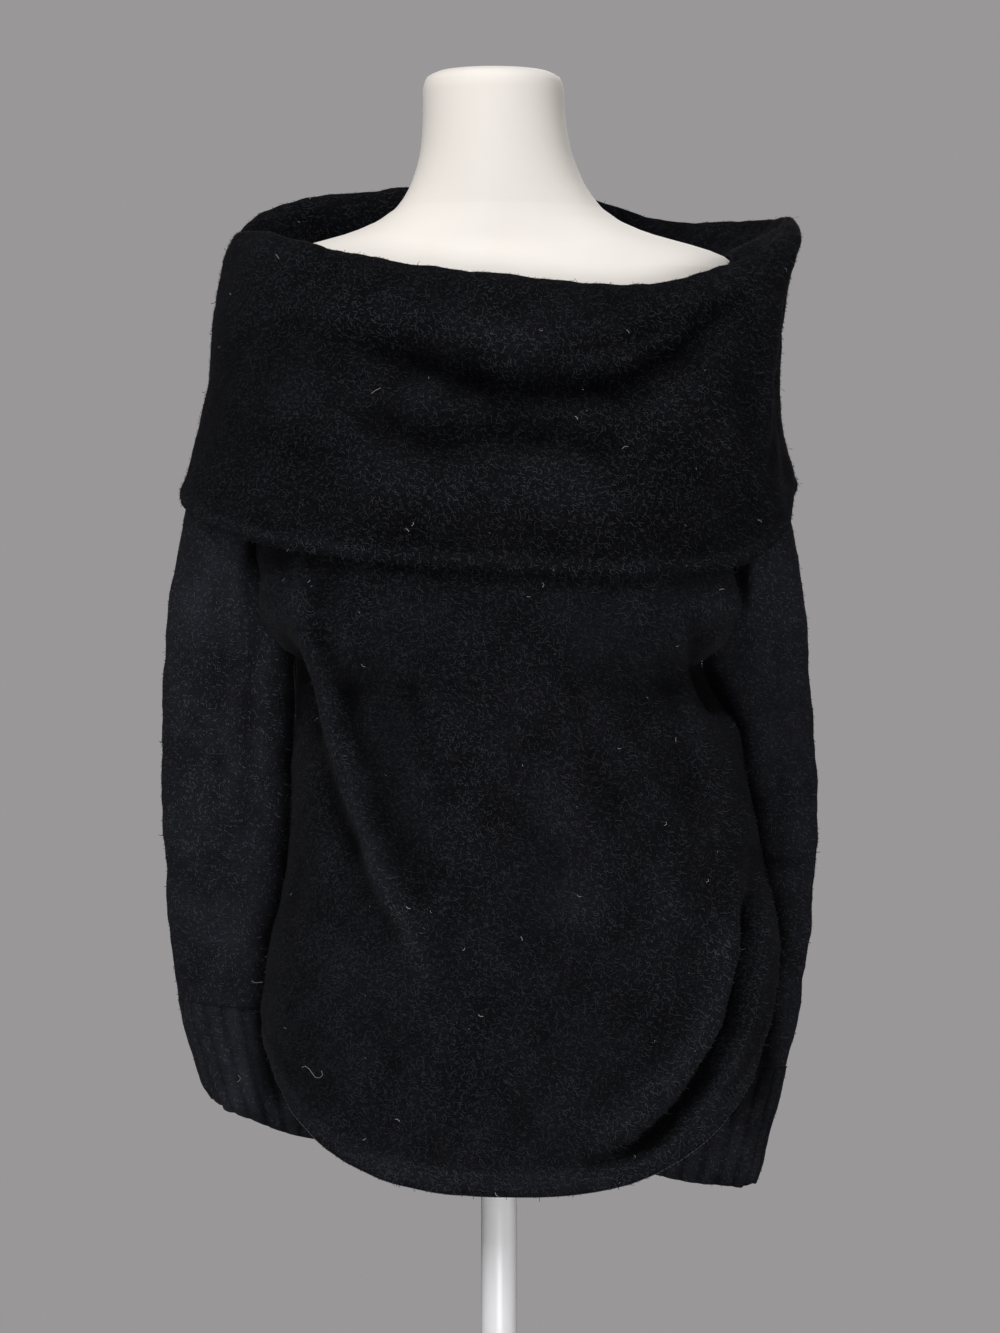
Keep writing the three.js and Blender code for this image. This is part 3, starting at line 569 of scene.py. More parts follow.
def folds_at(folds, point):
    """The height of the folds over points of the front or back, from the distance to each line."""
    x = point[..., 0]
    z = point[..., 2]
    total = np.zeros(x.shape)
    for fold in folds:
        nearest = np.full(x.shape, np.inf)
        along = np.zeros(x.shape)
        travelled = 0
        for (start_x, start_z), (end_x, end_z) in zip(fold["line"], fold["line"][1:]):
            span_x = end_x - start_x
            span_z = end_z - start_z
            span = math.hypot(span_x, span_z)
            share = np.clip(((x - start_x) * span_x + (z - start_z) * span_z) / span**2, 0, 1)
            away = np.hypot(x - start_x - share * span_x, z - start_z - share * span_z)
            along = np.where(away < nearest, travelled + share * span, along)
            nearest = np.minimum(nearest, away)
            travelled += span
        share = along / travelled
        fade = FADED_END + (1 - FADED_END) * smooth_step(np.minimum(share, 1 - share), 0, FADE_SHARE)
        total += fold["height"] * fade * np.exp(-((nearest / fold["width"]) ** 2))
    return total


def unevenness(point):
    """The height of the gentle waves at each point."""
    total = np.zeros(point.shape[:-1])
    for wave in UNEVEN:
        turn = point[..., 0] * wave["x"] + point[..., 1] * wave["y"] + point[..., 2] * wave["z"]
        total += wave["height"] * np.sin(turn + wave["phase"])
    return total


form_section = curves_of(FORM_SECTIONS, "height")
body_seams = curves_of(BODY_SECTIONS, "height")
armhole_angle = table_curve(ARMHOLE_ANGLES, "height", "angle")
cowl_edges = curves_of(
    [{**row, "angle": row["angle"] + turn} for turn in (-360, 0, 360) for row in COWL_EDGES],
    "angle",
)


def form_point(angle, height):
    return oval_point(form_section(height), angle, height)


def form_outward(angle, height):
    """The direction that stands square on the form."""
    along_angle = form_point(angle + 0.01, height) - form_point(angle - 0.01, height)
    along_height = form_point(angle, height + 0.5) - form_point(angle, height - 0.5)
    return unit(np.cross(along_angle, along_height))


def yoke_point(angle, height):
    """The sweater's outer side where it rests on the form's shoulders."""
    return form_point(angle, height) + form_outward(angle, height) * (REST_GAP + BODY_WALL)


def neckline_height(angle):
    """The neckline hangs lower at the front and the back than at the sides."""
    deep = np.sin(angle)
    middle = np.where(deep < 0, NECKLINE["front"], NECKLINE["back"])
    return NECKLINE["side"] + (middle - NECKLINE["side"]) * np.abs(deep) ** NECKLINE["power"]


def height_down(top, end, down):
    """A height at a share of the way down: half way lies at the underarm."""
    above = top + (UNDERARM - top) * 2 * down
    below = UNDERARM + (end - UNDERARM) * (2 * down - 1)
    return np.where(down < 0.5, above, below)


def body_point(angle, height, folds):
    """The body's outer side with its folds, which end calmly at the side seams."""
    section = body_seams(height)
    swell = 1 + section["swell"] * smooth_step(-np.sin(angle), 0, SWELL_FULL)
    section["middle"] = (section["left"] + section["right"]) / 2
    section["half_width"] = (section["left"] - section["right"]) / 2 * swell
    section["back_power"] = BACK_POWER
    point = oval_point(section, angle, height)
    calm = np.minimum(1, np.abs(np.sin(angle)) / SEAM_CALM)
    raised = folds_at(folds, point) * calm
    point = point + oval_outward(section, angle) * raised[..., None]
    on_yoke = yoke_point(angle, np.maximum(height, YOKE[0]))
    return mixed(point, on_yoke, smooth_step(height, *YOKE))


def hem_height(angle):
    """The shirt-tail hem is low at the front and the back and rises in a round to both sides."""
    across = np.abs(np.cos(angle)) ** (2 / HEM["flat"])
    bottom = np.where(np.sin(angle) < 0, HEM["front"], HEM["back"])
    side = np.where(np.cos(angle) < 0, HEM["right"], HEM["left"])

    def rounded(share):
        return 1 - (1 - (HEM["corner"] * share) ** HEM["round"]) ** (1 / HEM["round"])

    return bottom + (side - bottom) * rounded(across) / rounded(1)


def sleeve_surface(which):
    """A sleeve's outer side. around runs from the armhole's front round the outer side to its back."""
    sleeve = SLEEVES[which]
    side = sleeve["side"]
    section_at = curves_of(sleeve["sections"], "height")
    folds = SLEEVE_FOLDS[which]

    def surface(around, height, creased=True):
        section = section_at(height)
        opening = np.radians(section["opening"])
        angle = opening + (2 * math.pi - 2 * opening) * around
        half_width = section["width"] / 2
        outward = -half_width * np.cos(angle)
        x = side * (section["outer"] - half_width + outward)
        y = section["middle"] - section["depth"] / 2 * np.sin(angle)
        z = height + section["drop"] * outward / section["width"]
        point = np.stack(np.broadcast_arrays(x, y, z), axis=-1)
        if creased:
            forward = np.sin(angle)
            raised = np.where(
                forward > 0, *(folds_at(folds[face], point) for face in ("front", "back"))
            )
            raised = raised * np.abs(forward)
            point[..., 1] -= raised * forward
            point[..., 0] -= side * raised * np.cos(angle)
        hole = np.radians(armhole_angle(height))
        yoke_angle = (2 * around - 1) * hole if side > 0 else math.pi + (1 - 2 * around) * hole
        on_yoke = yoke_point(yoke_angle, np.maximum(height, YOKE_SLEEVE[1]))
        return mixed(point, on_yoke, smooth_step(height, *YOKE_SLEEVE))

    return surface


SLEEVE_SURFACES = {which: sleeve_surface(which) for which in SLEEVES}


def panel_surface(front):
    """The front or back panel. across runs from the wearer's right seam to the left one."""
    turn = 1 if front else -1
    edge = 0 if front else 1
    folds = FRONT_FOLDS + FRONT_CREASES if front else BACK_FOLDS + BACK_CREASES

    def surface(across, down):
        def angle_at(share, hole):
            return math.pi + turn * (hole + (math.pi - 2 * hole) * share)

        top_angle = angle_at(across, np.radians(armhole_angle(NECKLINE["side"])))
        height = height_down(neckline_height(top_angle), hem_height(angle_at(across, 0)), down)
        hole = np.radians(armhole_angle(height))
        point = body_point(angle_at(across, hole), height, folds)
        held = smooth_step(height, UNDERARM - UNDERARM_BLEND, UNDERARM)
        above = smooth_step(height, UNDERARM, UNDERARM + UNDERARM_GAP_HEIGHT)
        gap = SEAM_GAP + PANEL_CLEARANCE + UNDERARM_GAP * (1 - above)
        for share, which in ((0, "right"), (1, "left")):
            side = SLEEVES[which]["side"]
            near = np.maximum(0, 1 - np.abs(across - share) / UNDERARM_REACH) ** REACH_POWER * held
            sleeve = SLEEVE_SURFACES[which]
            target = sleeve(np.full_like(height, edge), np.maximum(height, UNDERARM), False)
            start = body_point(angle_at(share, hole), height, folds)
            point[..., 0] += (target[..., 0] - side * gap - start[..., 0]) * near
            point[..., 1] += (target[..., 1] - turn * gap * 0.5 - start[..., 1]) * near
        bulge_across, bulge_up = SIDE_BULGE_SPREAD
        beside = (across / bulge_across) ** 2
        point[..., 0] -= SIDE_BULGE * np.exp(-beside - ((height - SIDE_BULGE_HEIGHT) / bulge_up) ** 2)
        at_seam = (across < TINY) | (across > 1 - TINY)
        point[..., 1] -= turn * at_seam * SEAM_GAP / 2
        return point

    return surface


def spline_through(points, along):
    """Points on the centripetal curve through the first axis of points, at shares of its length."""
    first = 2 * points[:1] - points[1:2]
    last = 2 * points[-1:] - points[-2:-1]
    knots = np.concatenate((first, points, last))
    spans = len(points) - 1
    place = np.clip(along, 0, 1) * spans
    start = np.minimum(np.floor(place).astype(int), spans - 1)
    share = (place - start)[..., None]
    p0, p1, p2, p3 = (
        np.take_along_axis(knots, (start + i)[None, ..., None], axis=0)[0] for i in range(4)
    )
    d0, d1, d2 = (
        np.maximum(np.linalg.norm(b - a, axis=-1, keepdims=True) ** 0.5, 1e-3)
        for a, b in ((p0, p1), (p1, p2), (p2, p3))
    )
    out = ((p1 - p0) / d0 - (p2 - p0) / (d0 + d1) + (p2 - p1) / d1) * d1
    into = ((p2 - p1) / d1 - (p3 - p1) / (d1 + d2) + (p3 - p2) / d2) * d1
    bend = 2 * p1 - 2 * p2 + out + into
    return p1 + share * (out + share * (3 * (p2 - p1) - 2 * out - into + share * bend))


def cowl_surface(around, along):
    """The cowl's outer side, from the neckline over its roll and down to its hem."""
    angle = around * 2 * math.pi
    degrees = np.mod(around, 1) * 360
    edges = cowl_edges(degrees)
    top = neckline_height(angle)
    foot = yoke_point(angle, top) + form_outward(angle, top) * (COWL_WALL - BODY_WALL) / 2
    foot[..., 2] += SEAM_GAP + COWL_LIFT
    loops = []
    for loop in COWL_LOOPS:
        section = dict(loop)
        section["middle"] = (loop["left"] + loop["right"]) / 2
        section["half_width"] = (loop["left"] - loop["right"]) / 2
        height = edges["roll"] - loop["below"] - loop["fall"] * (edges["roll"] - edges["hem"])
        loops.append(oval_point(section, angle, height))
    shoulder = (foot + loops[0]) / 2
    shoulder[..., 2] -= COWL_RISE_SAG * (loops[0][..., 2] - foot[..., 2])
    point = spline_through(np.stack([foot, shoulder, *loops]), along)
    deep = np.sin(angle)
    height = folds_at(COWL_FOLDS + COWL_CREASES, point) * smooth_step(-deep, *COWL_SIDES)
    height += folds_at(COWL_BACK_FOLDS, point) * smooth_step(deep, *COWL_SIDES)
    for fold in COWL_SIDE_FOLDS:
        apart = np.abs(np.mod(degrees - fold["angle"] + 180, 360) - 180)
        height += fold["height"] * np.exp(-((apart / fold["width"]) ** 2))
    on_fall = smooth_step(along, *COWL_FALL) * (1 - COWL_EDGE_CALM * smooth_step(along, *COWL_EDGE))
    outward = np.stack([np.cos(angle), deep, np.zeros_like(deep)], axis=-1)
    return point + outward * (height * on_fall)[..., None]


def edged(grid, normal, wall, reach, axis):
    """The outer and inner grids with two more rows past both ends, so that their edges are round."""
    outer = grid
    inner = grid - normal * wall
    for end, stretch in ((0, reach[0]), (-1, reach[1])):
        outer_end = outer.take(end, axis)
        inner_end = inner.take(end, axis)
        beside = outer.take(1 if end == 0 else -2, axis)
        past = unit(outer_end - beside)
        middle = (outer_end + inner_end) / 2
        half = outer_end - middle
        turn = -1 if end == 0 else 1
        more_outer = [
            middle + half * thick + past * stretch * far for thick, far in EDGE_PROFILE[::turn]
        ]
        more_inner = [
            middle - half * thick + past * stretch * far for thick, far in EDGE_PROFILE[::turn]
        ]
        outer = np.concatenate((outer, np.stack(more_outer, axis))[::turn], axis)
        inner = np.concatenate((inner, np.stack(more_inner, axis))[::turn], axis)
    return outer, inner


def stretched(grid, axis):
    """A flat place for each point that edged adds: the same values, carried on past both ends."""
    first = np.repeat(grid.take([0], axis), len(EDGE_PROFILE), axis)
    last = np.repeat(grid.take([-1], axis), len(EDGE_PROFILE), axis)
    return np.concatenate((first, grid, last), axis)


def shell_mesh(name, outer, inner, flat, relief, closed):
    """A closed wall between two grids of points, in metres, with its flat places and its relief, which
    carries the painted shade and highlight.
    """
    rows, columns = outer.shape[:2]
    place = np.arange(rows * columns).reshape(rows, columns)
    if closed:
        place = np.concatenate((place, place[:, :1]), axis=1)
    spot = np.arange(place.size).reshape(place.shape)
    size = rows * columns

    def quads(grid, other):
        corners = [grid[:-1, :-1], grid[1:, :-1], grid[1:, 1:], grid[:-1, 1:]]
        faces = [
            np.stack(corners, -1).reshape(-1, 4), np.stack(corners[::-1], -1).reshape(-1, 4) + other
        ]
        rims = [
            (grid[0, :-1], grid[0, 1:], grid[0, 1:] + other, grid[0, :-1] + other),
            (grid[-1, :-1] + other, grid[-1, 1:] + other, grid[-1, 1:], grid[-1, :-1]),
        ]
        if not closed:
            rims.append((grid[:-1, 0], grid[:-1, 0] + other, grid[1:, 0] + other, grid[1:, 0]))
            rims.append((grid[:-1, -1] + other, grid[:-1, -1], grid[1:, -1], grid[1:, -1] + other))
        return np.concatenate(faces + [np.stack(rim, -1) for rim in rims])

    points = np.concatenate((outer.reshape(-1, 3), inner.reshape(-1, 3))) * MM
    faces = quads(place, size)
    spots = quads(spot, 0)
    corner = points[faces]
    volume = (corner[:, 0] * np.cross(corner[:, 1], corner[:, 2])).sum()
    volume += (corner[:, 0] * np.cross(corner[:, 2], corner[:, 3])).sum()
    if volume < 0:
        faces = faces[:, ::-1]
        spots = spots[:, ::-1]
    mesh = bpy.data.meshes.new(name)
    mesh.vertices.add(len(points))
    mesh.vertices.foreach_set("co", points.ravel())
    mesh.loops.add(faces.size)
    mesh.loops.foreach_set("vertex_index", faces.ravel())
    mesh.polygons.add(len(faces))
    mesh.polygons.foreach_set("loop_start", np.arange(0, faces.size, 4))
    mesh.update(calc_edges=True)
    mesh.polygons.foreach_set("use_smooth", np.ones(len(faces), bool))
    layer = mesh.uv_layers.new(name="cloth")
    layer.data.foreach_set("uv", (flat.reshape(-1, 2)[spots.ravel()] * MM).ravel())
    shade_relief = np.concatenate((relief.ravel(), -relief.ravel()))
    mesh.attributes.new("relief", "FLOAT", "POINT").data.foreach_set("value", shade_relief)
    shown = np.arange(len(faces)) < (rows - 1) * (place.shape[1] - 1)
    mesh.attributes.new("outer_side", "BOOLEAN", "FACE").data.foreach_set("value", shown)
    mesh.validate()
    return mesh


def blurred(grid, spread, axis, closed):
    """A grid smoothed along one axis over a number of its steps."""
    reach = 3 * spread
    weights = np.exp(-0.5 * (np.arange(-reach, reach + 1) / spread) ** 2)
    size = grid.shape[axis]
    total = 0
    share = 0
    for shift, weight in zip(range(-reach, reach + 1), weights):
        places = np.arange(size) + shift
        inside = np.ones(size, bool) if closed else (places >= 0) & (places < size)
        picked = grid.take(np.mod(places, size) if closed else np.clip(places, 0, size - 1), axis)
        lined = (weight * inside).reshape([-1 if i == axis else 1 for i in range(grid.ndim)])
        total = total + picked * lined
        share = share + lined
    return total / share


def relief_over(grid, normal, closed):
    """How far each point stands out over the cloth around it, or lies below it, in millimetres."""
    smooth = blurred(blurred(grid, RELIEF_SPREAD, 0, False), RELIEF_SPREAD, 1, closed)
    return ((grid - smooth) * normal).sum(axis=-1)


def flat_places(grid):
    """How far each point lies across and down the cloth, measured along it."""
    down_steps = np.linalg.norm(np.diff(grid, axis=0), axis=-1)
    down = np.concatenate((np.zeros((1, grid.shape[1])), np.cumsum(down_steps, axis=0)))
    across_steps = np.linalg.norm(np.diff(grid, axis=1), axis=-1).mean(axis=0)
    across = np.concatenate(([0], np.cumsum(across_steps)))
    return np.stack((np.broadcast_to(across, down.shape), -down), axis=-1)


def cloth_shell(name, surface, columns, downs, wall, closed, reach, relief=None, shade_and_highlight=None):
    """Cloth along a surface of two shares, as a wall on its inner side with round edges.

    relief adds to its height. The last call gives how much painted shade its places get, and below 0,
    how much painted highlight."""
    across, down = np.meshgrid(np.linspace(0, 1, columns + 1), downs)
    grid = surface(across, down)
    if closed:
        wrapped = np.concatenate((grid[:, -2:-1], grid, grid[:, 1:2]), axis=1)
        along = (wrapped[:, 2:] - wrapped[:, :-2]) / 2
    else:
        along = np.gradient(grid, axis=1)
    normal = unit(np.cross(along, np.gradient(grid, axis=0)))
    middle = grid.mean(axis=(0, 1))
    middle[2] = 0
    level = grid * (1, 1, 0) - middle
    if (normal * level).sum() < 0:
        normal = -normal
    raised = unevenness(grid) + (relief(across, down, grid) if relief else 0)
    flat = flat_places(grid)
    outer = grid + normal * raised[..., None]
    if closed:
        outer, normal = outer[:, :-1], normal[:, :-1]
    # The relief over the cloth around, lowered by the painted shade and raised by the painted highlight,
    # is painted into the wool's tone.
    shade_relief = relief_over(outer, normal, closed)
    if shade_and_highlight:
        shade_relief = shade_relief - shade_and_highlight(across, down, grid)[:, : shade_relief.shape[1]]
    outer, inner = edged(outer, normal, wall, reach[:2], 0)
    flat = stretched(flat, 0)
    shade_relief = stretched(shade_relief, 0)
    if not closed:
        side_normal = unit(outer - inner)
        outer, inner = edged(outer, side_normal, wall, reach[2:], 1)
        flat = stretched(flat, 1)
        shade_relief = stretched(shade_relief, 1)
    return shell_mesh(name, outer, inner, flat, shade_relief, closed)


def new_piece(name, mesh, material):
    """An object of the scene with its mesh and one material."""
    mesh.materials.clear()
    mesh.materials.append(material)
    piece = bpy.data.objects.new(name, mesh)
    bpy.context.scene.collection.objects.link(piece)
    return piece


def settle(piece, slot, nodes=()):
    """The piece rides on the part's one body and stands for its nodes."""
    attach(piece, "root")
    if nodes:
        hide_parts(*nodes)
    return piece


def turned_rings(profile, sides):
    """Rings of points round the pole's axis, through a profile of radius and height."""
    turns = np.linspace(0, 2 * math.pi, sides, endpoint=False)
    return np.array(
        [
            [(radius * math.cos(turn), radius * math.sin(turn), height) for turn in turns]
            for radius, height in profile
        ]
    )


def turned_mesh(name, rings):
    """A closed surface through rings of points, with smooth sides."""
    rows, columns = rings.shape[:2]
    points = list(map(tuple, rings.reshape(-1, 3) * MM))
    faces = []
    for row in range(rows - 1):
        for column in range(columns):
            after = (column + 1) % columns
            start = row * columns
            above = start + columns
            faces.append((start + column, start + after, above + after, above + column))
    for row, turn in ((0, -1), (rows - 1, 1)):
        points.append(tuple(rings[row].mean(axis=0) * MM))
        hub = len(points) - 1
        for column in range(columns):
            pair = (row * columns + column, row * columns + (column + 1) % columns)
            faces.append((hub, *pair[::turn]))
    mesh = bpy.data.meshes.new(name)
    mesh.from_pydata(points, [], faces)
    mesh.validate()
    mesh.update()
    mesh.polygons.foreach_set("use_smooth", [True] * len(mesh.polygons))
    return mesh


# Node trees
FLOAT = "NodeSocketFloat"
VECTOR = "NodeSocketVector"
COLOR = "NodeSocketColor"
GEOMETRY = "NodeSocketGeometry"
LOOK_OUTPUTS = (("Color", COLOR), ("Roughness", FLOAT), ("Height", FLOAT))
LEVEL = (0, 0, 0)
NOISE_ROUGHNESS = 0.6


def tree_node(tree, kind, inputs=None, **settings):
    """A new node whose inputs are linked to sockets or set to values."""
    node = tree.nodes.new(kind)
    for name, value in settings.items():
        setattr(node, name, value)
    for name, value in (inputs or {}).items():
        socket = node.inputs[name]
        if isinstance(value, bpy.types.NodeSocket):
            tree.links.new(value, socket)
        else:
            socket.default_value = value
    return node


def math_node(tree, operation, *values):
    inputs = dict(enumerate(values))
    return tree_node(tree, "ShaderNodeMath", inputs, operation=operation).outputs[0]


def multiplied(tree, first, *others):
    """The product of sockets and values, from the first on."""
    for other in others:
        first = math_node(tree, "MULTIPLY", first, other)
    return first


def weighted(tree, *terms):
    """The sum of sockets, each times its weight."""
    total, *others = [multiplied(tree, value, weight) for value, weight in terms]
    for other in others:
        total = math_node(tree, "ADD", total, other)
    return total


def color_mix(tree, share, start, end):
    return tree_node(tree, "ShaderNodeMix", {0: share, 6: start, 7: end}, data_type="RGBA").outputs[2]


def value_range(tree, value, low, high, to_low=0.0, to_high=1.0):
    inputs = {"Value": value, "From Min": low, "From Max": high, "To Min": to_low, "To Max": to_high}
    return tree_node(tree, "ShaderNodeMapRange", inputs).outputs[0]


def stretched_noise(tree, vector, turn, stretch, scale, detail, distortion):
    """Noise over places that are turned and stretched first."""
    placed = tree_node(
        tree, "ShaderNodeMapping", {"Vector": vector, "Rotation": turn, "Scale": stretch}
    )
    inputs = {
        "Vector": placed.outputs[0],
        "Scale": scale,
        "Detail": detail,
        "Roughness": NOISE_ROUGHNESS,
        "Distortion": distortion,
    }
    return tree_node(tree, "ShaderNodeTexNoise", inputs).outputs[0]


def new_tree(kind, name, inputs, outputs):
    """A group's tree with its sockets, and the ends of the nodes that carry them."""
    tree = bpy.data.node_groups.new(name, kind)
    for title, socket_kind, value in inputs:
        socket = tree.interface.new_socket(name=title, in_out="INPUT", socket_type=socket_kind)
        if value is not None:
            socket.default_value = value
    for title, socket_kind in outputs:
        tree.interface.new_socket(name=title, in_out="OUTPUT", socket_type=socket_kind)
    given = tree_node(tree, "NodeGroupInput").outputs
    return tree, given, tree_node(tree, "NodeGroupOutput").inputs


# Strokes of the nap's curls: how the noise is turned and stretched
NAP_STROKES = (
    ((0.3, 0.5, 0.5), (0.42, 1, 1.5)),
    ((0.2, -0.4, -0.7), (0.5, 1, 1.6)),
    ((1.1, 0.2, 1.4), (1, 0.5, 1.3)),
)


def knit_stitch(tree, given):
    """The height of slanted loops in columns, by their place on the flat cloth."""
    split = tree_node(tree, "ShaderNodeSeparateXYZ", {"Vector": given["Cloth Place"]})
    wale = math_node(tree, "DIVIDE", split.outputs[0], given["Stitch Width"])
    course = math_node(tree, "DIVIDE", split.outputs[1], given["Stitch Height"])
    ridge = math_node(tree, "PINGPONG", wale, 0.5)
    slant = math_node(tree, "ADD", course, ridge)
    loop = math_node(tree, "SINE", multiplied(tree, slant, 2 * math.pi))
    loop = multiplied(tree, value_range(tree, loop, -1.0, 1.0), 0.6)
    loop = math_node(tree, "ADD", loop, 0.4)
    column = math_node(tree, "SINE", multiplied(tree, ridge, 2 * math.pi))
    return multiplied(tree, column, loop, given["Stitch Depth"])


def felted_knit_group():
    """Knitted wool under a short curly nap: tone, roughness and height over the cloth."""
    tree, given, out = new_tree(
        "ShaderNodeTree",
        "Felted knit",
        (
            ("Place", VECTOR, None),
            ("Cloth Place", VECTOR, None),
            ("Dark", COLOR, (0.004, 0.004, 0.005, 1)),
            ("Light", COLOR, (0.03, 0.03, 0.034, 1)),
            ("Nap Scale", FLOAT, 420.0),
            ("Nap Amount", FLOAT, 1.0),
            ("Stitch Width", FLOAT, 0.0026),
            ("Stitch Height", FLOAT, 0.0019),
            ("Stitch Depth", FLOAT, 0.3),
        ),
        LOOK_OUTPUTS,
    )
    place = given["Place"]
    strokes = []
    for turn, stretch in NAP_STROKES:
        noise = stretched_noise(tree, place, turn, stretch, given["Nap Scale"], 2.0, 1.6)
        strokes.append(value_range(tree, noise, 0.52, 0.74))
    curls = math_node(tree, "MAXIMUM", math_node(tree, "MAXIMUM", *strokes[:2]), strokes[2])
    clumps = value_range(
        tree, stretched_noise(tree, place, LEVEL, (1, 1, 1.3), 95.0, 3.0, 0.8), 0.32, 0.7
    )
    clumps = math_node(tree, "ADD", multiplied(tree, clumps, 0.75), 0.25)
    patches = value_range(
        tree, stretched_noise(tree, place, LEVEL, (1, 1, 0.8), 14.0, 2.0, 0.3), 0.3, 0.72
    )
    fine = stretched_noise(tree, place, (0.4, 0.2, 0.1), (1, 1, 1), 1500.0, 1.0, 0.0)
    stitch = knit_stitch(tree, given)
    nap = multiplied(tree, curls, clumps, given["Nap Amount"])
    tone = weighted(tree, (nap, 0.62), (patches, 0.12), (fine, 0.16), (stitch, 0.35))
    tone = tree_node(tree, "ShaderNodeClamp", {"Value": tone}).outputs[0]
    tree.links.new(color_mix(tree, tone, given["Dark"], given["Light"]), out["Color"])
    tree.links.new(value_range(tree, tone, 0.0, 1.0, 0.98, 0.82), out["Roughness"])
    tree.links.new(weighted(tree, (nap, 0.7), (stitch, 1.2), (fine, 0.25)), out["Height"])
    return tree


def fine_wear_group():
    """Faint mottling and fine grain for a pale cover, paint or hairs."""
    tree, given, out = new_tree(
        "ShaderNodeTree",
        "Fine wear",
        (
            ("Place", VECTOR, None),
            ("Base", COLOR, (0.8, 0.8, 0.8, 1)),
            ("Worn", COLOR, (0.7, 0.7, 0.7, 1)),
            ("Grain Scale", FLOAT, 900.0),
            ("Smooth", FLOAT, 0.35),
            ("Rough", FLOAT, 0.55),
        ),
        LOOK_OUTPUTS,
    )
    place = given["Place"]
    cloud = value_range(
        tree, stretched_noise(tree, place, LEVEL, (1, 1, 0.6), 9.0, 4.0, 0.4), 0.35, 0.75
    )
    weaves = [
        stretched_noise(tree, place, LEVEL, stretch, given["Grain Scale"], 1.0, 0.0)
        for stretch in ((1, 1, 0.12), (0.12, 0.12, 1))
    ]
    grain = multiplied(tree, math_node(tree, "ADD", *weaves), 0.5)
    worn = weighted(tree, (cloud, 0.6), (grain, 0.35))
    tree.links.new(color_mix(tree, worn, given["Base"], given["Worn"]), out["Color"])
    roughness = value_range(tree, worn, 0.0, 1.0, given["Smooth"], given["Rough"])
    tree.links.new(roughness, out["Roughness"])
    tree.links.new(grain, out["Height"])
    return tree


def fold_shade_group():
    """Painted shade on wool in a trough and a painted highlight on wool on a ridge, by its relief."""
    tree, given, out = new_tree(
        "ShaderNodeTree",
        "Painted fold shade",
        (
            ("Color", COLOR, (0.02, 0.02, 0.02, 1)),
            ("Relief", FLOAT, 0.0),
            ("Trough Shade", FLOAT, 0.22),
            ("Ridge Highlight", FLOAT, 1.7),
            ("Fold Height", FLOAT, FOLD_HEIGHT),
        ),
        (("Color", COLOR),),
    )
    low = multiplied(tree, given["Fold Height"], -1.0)
    trough_shade = value_range(tree, given["Relief"], low, 0.0, given["Trough Shade"], 1.0)
    ridge_highlight = value_range(tree, given["Relief"], 0.0, given["Fold Height"], 1.0, given["Ridge Highlight"])
    tone = multiplied(tree, trough_shade, ridge_highlight)
    inputs = {0: given["Color"], "Scale": tone}
    toned = tree_node(tree, "ShaderNodeVectorMath", inputs, operation="SCALE")
    tree.links.new(toned.outputs[0], out["Color"])
    return tree


def shared_group(name, make):
    return bpy.data.node_groups.get(name) or make()


# Materials
def grouped_material(name, group, values, bump, bump_distance, shader_values, painted_fold_shade=False):
    """A Principled material that takes its colour, roughness and bump from a shared node group."""
    material = bpy.data.materials.new(name)
    material.use_nodes = True
    tree = material.node_tree
    tree.nodes.clear()
    effect = tree_node(tree, "ShaderNodeGroup", values, node_tree=group)
    tree.links.new(tree_node(tree, "ShaderNodeTexCoord").outputs["Object"], effect.inputs["Place"])
    if "Cloth Place" in effect.inputs:
        cloth = tree_node(tree, "ShaderNodeUVMap", uv_map="cloth")
        tree.links.new(cloth.outputs[0], effect.inputs["Cloth Place"])
    height = {"Height": effect.outputs["Height"], "Strength": bump, "Distance": bump_distance}
    color = effect.outputs["Color"]
    # With the flag set, the colour gets painted shade in troughs and between pieces, and a painted
    # highlight on ridges and hems, from the relief attribute.
    if painted_fold_shade:
        relief = tree_node(tree, "ShaderNodeAttribute", attribute_name="relief").outputs["Fac"]
        fold_shade = shared_group("Painted fold shade", fold_shade_group)
        inputs = {"Color": color, "Relief": relief}
        color = tree_node(tree, "ShaderNodeGroup", inputs, node_tree=fold_shade).outputs["Color"]
    inputs = {
        "Base Color": color,
        "Roughness": effect.outputs["Roughness"],
        "Normal": tree_node(tree, "ShaderNodeBump", height).outputs[0],
        **shader_values,
    }
    shader = tree_node(tree, "ShaderNodeBsdfPrincipled", inputs)
    tree_node(tree, "ShaderNodeOutputMaterial", {"Surface": shader.outputs[0]})
    return material


# Looks of the wool. Scales and stitches are in the shader's metres.
LOOKS = table(
    "look tone nap_scale nap_amount stitch_width stitch_height stitch_depth bump",
    # The cowl's felt is the body's felt at a lower tone: painted shade on the cowl.
    ("cowl_felt", 0.57, 500.0, 1.0, 0.0030, 0.0022, 0.12, 0.55),
    ("body_felt", 0.88, 500.0, 1.0, 0.0030, 0.0022, 0.12, 0.55),
    ("sleeve_knit", 1.62, 520.0, 0.8, 0.0026, 0.0020, 0.30, 0.45),
    ("cuff_rib", 2.3, 520.0, 0.75, 0.0026, 0.0020, 0.30, 0.45),
)
WOOL_GLOSS = 0.015
WOOL_BUMP_DISTANCE = 0.0012


def row_of(rows, column, value):
    """The row of a table that holds a value in one of its columns."""
    return next(row for row in rows if row[column] == value)


def toned(color, tone):
    return tuple(value * tone for value in color)


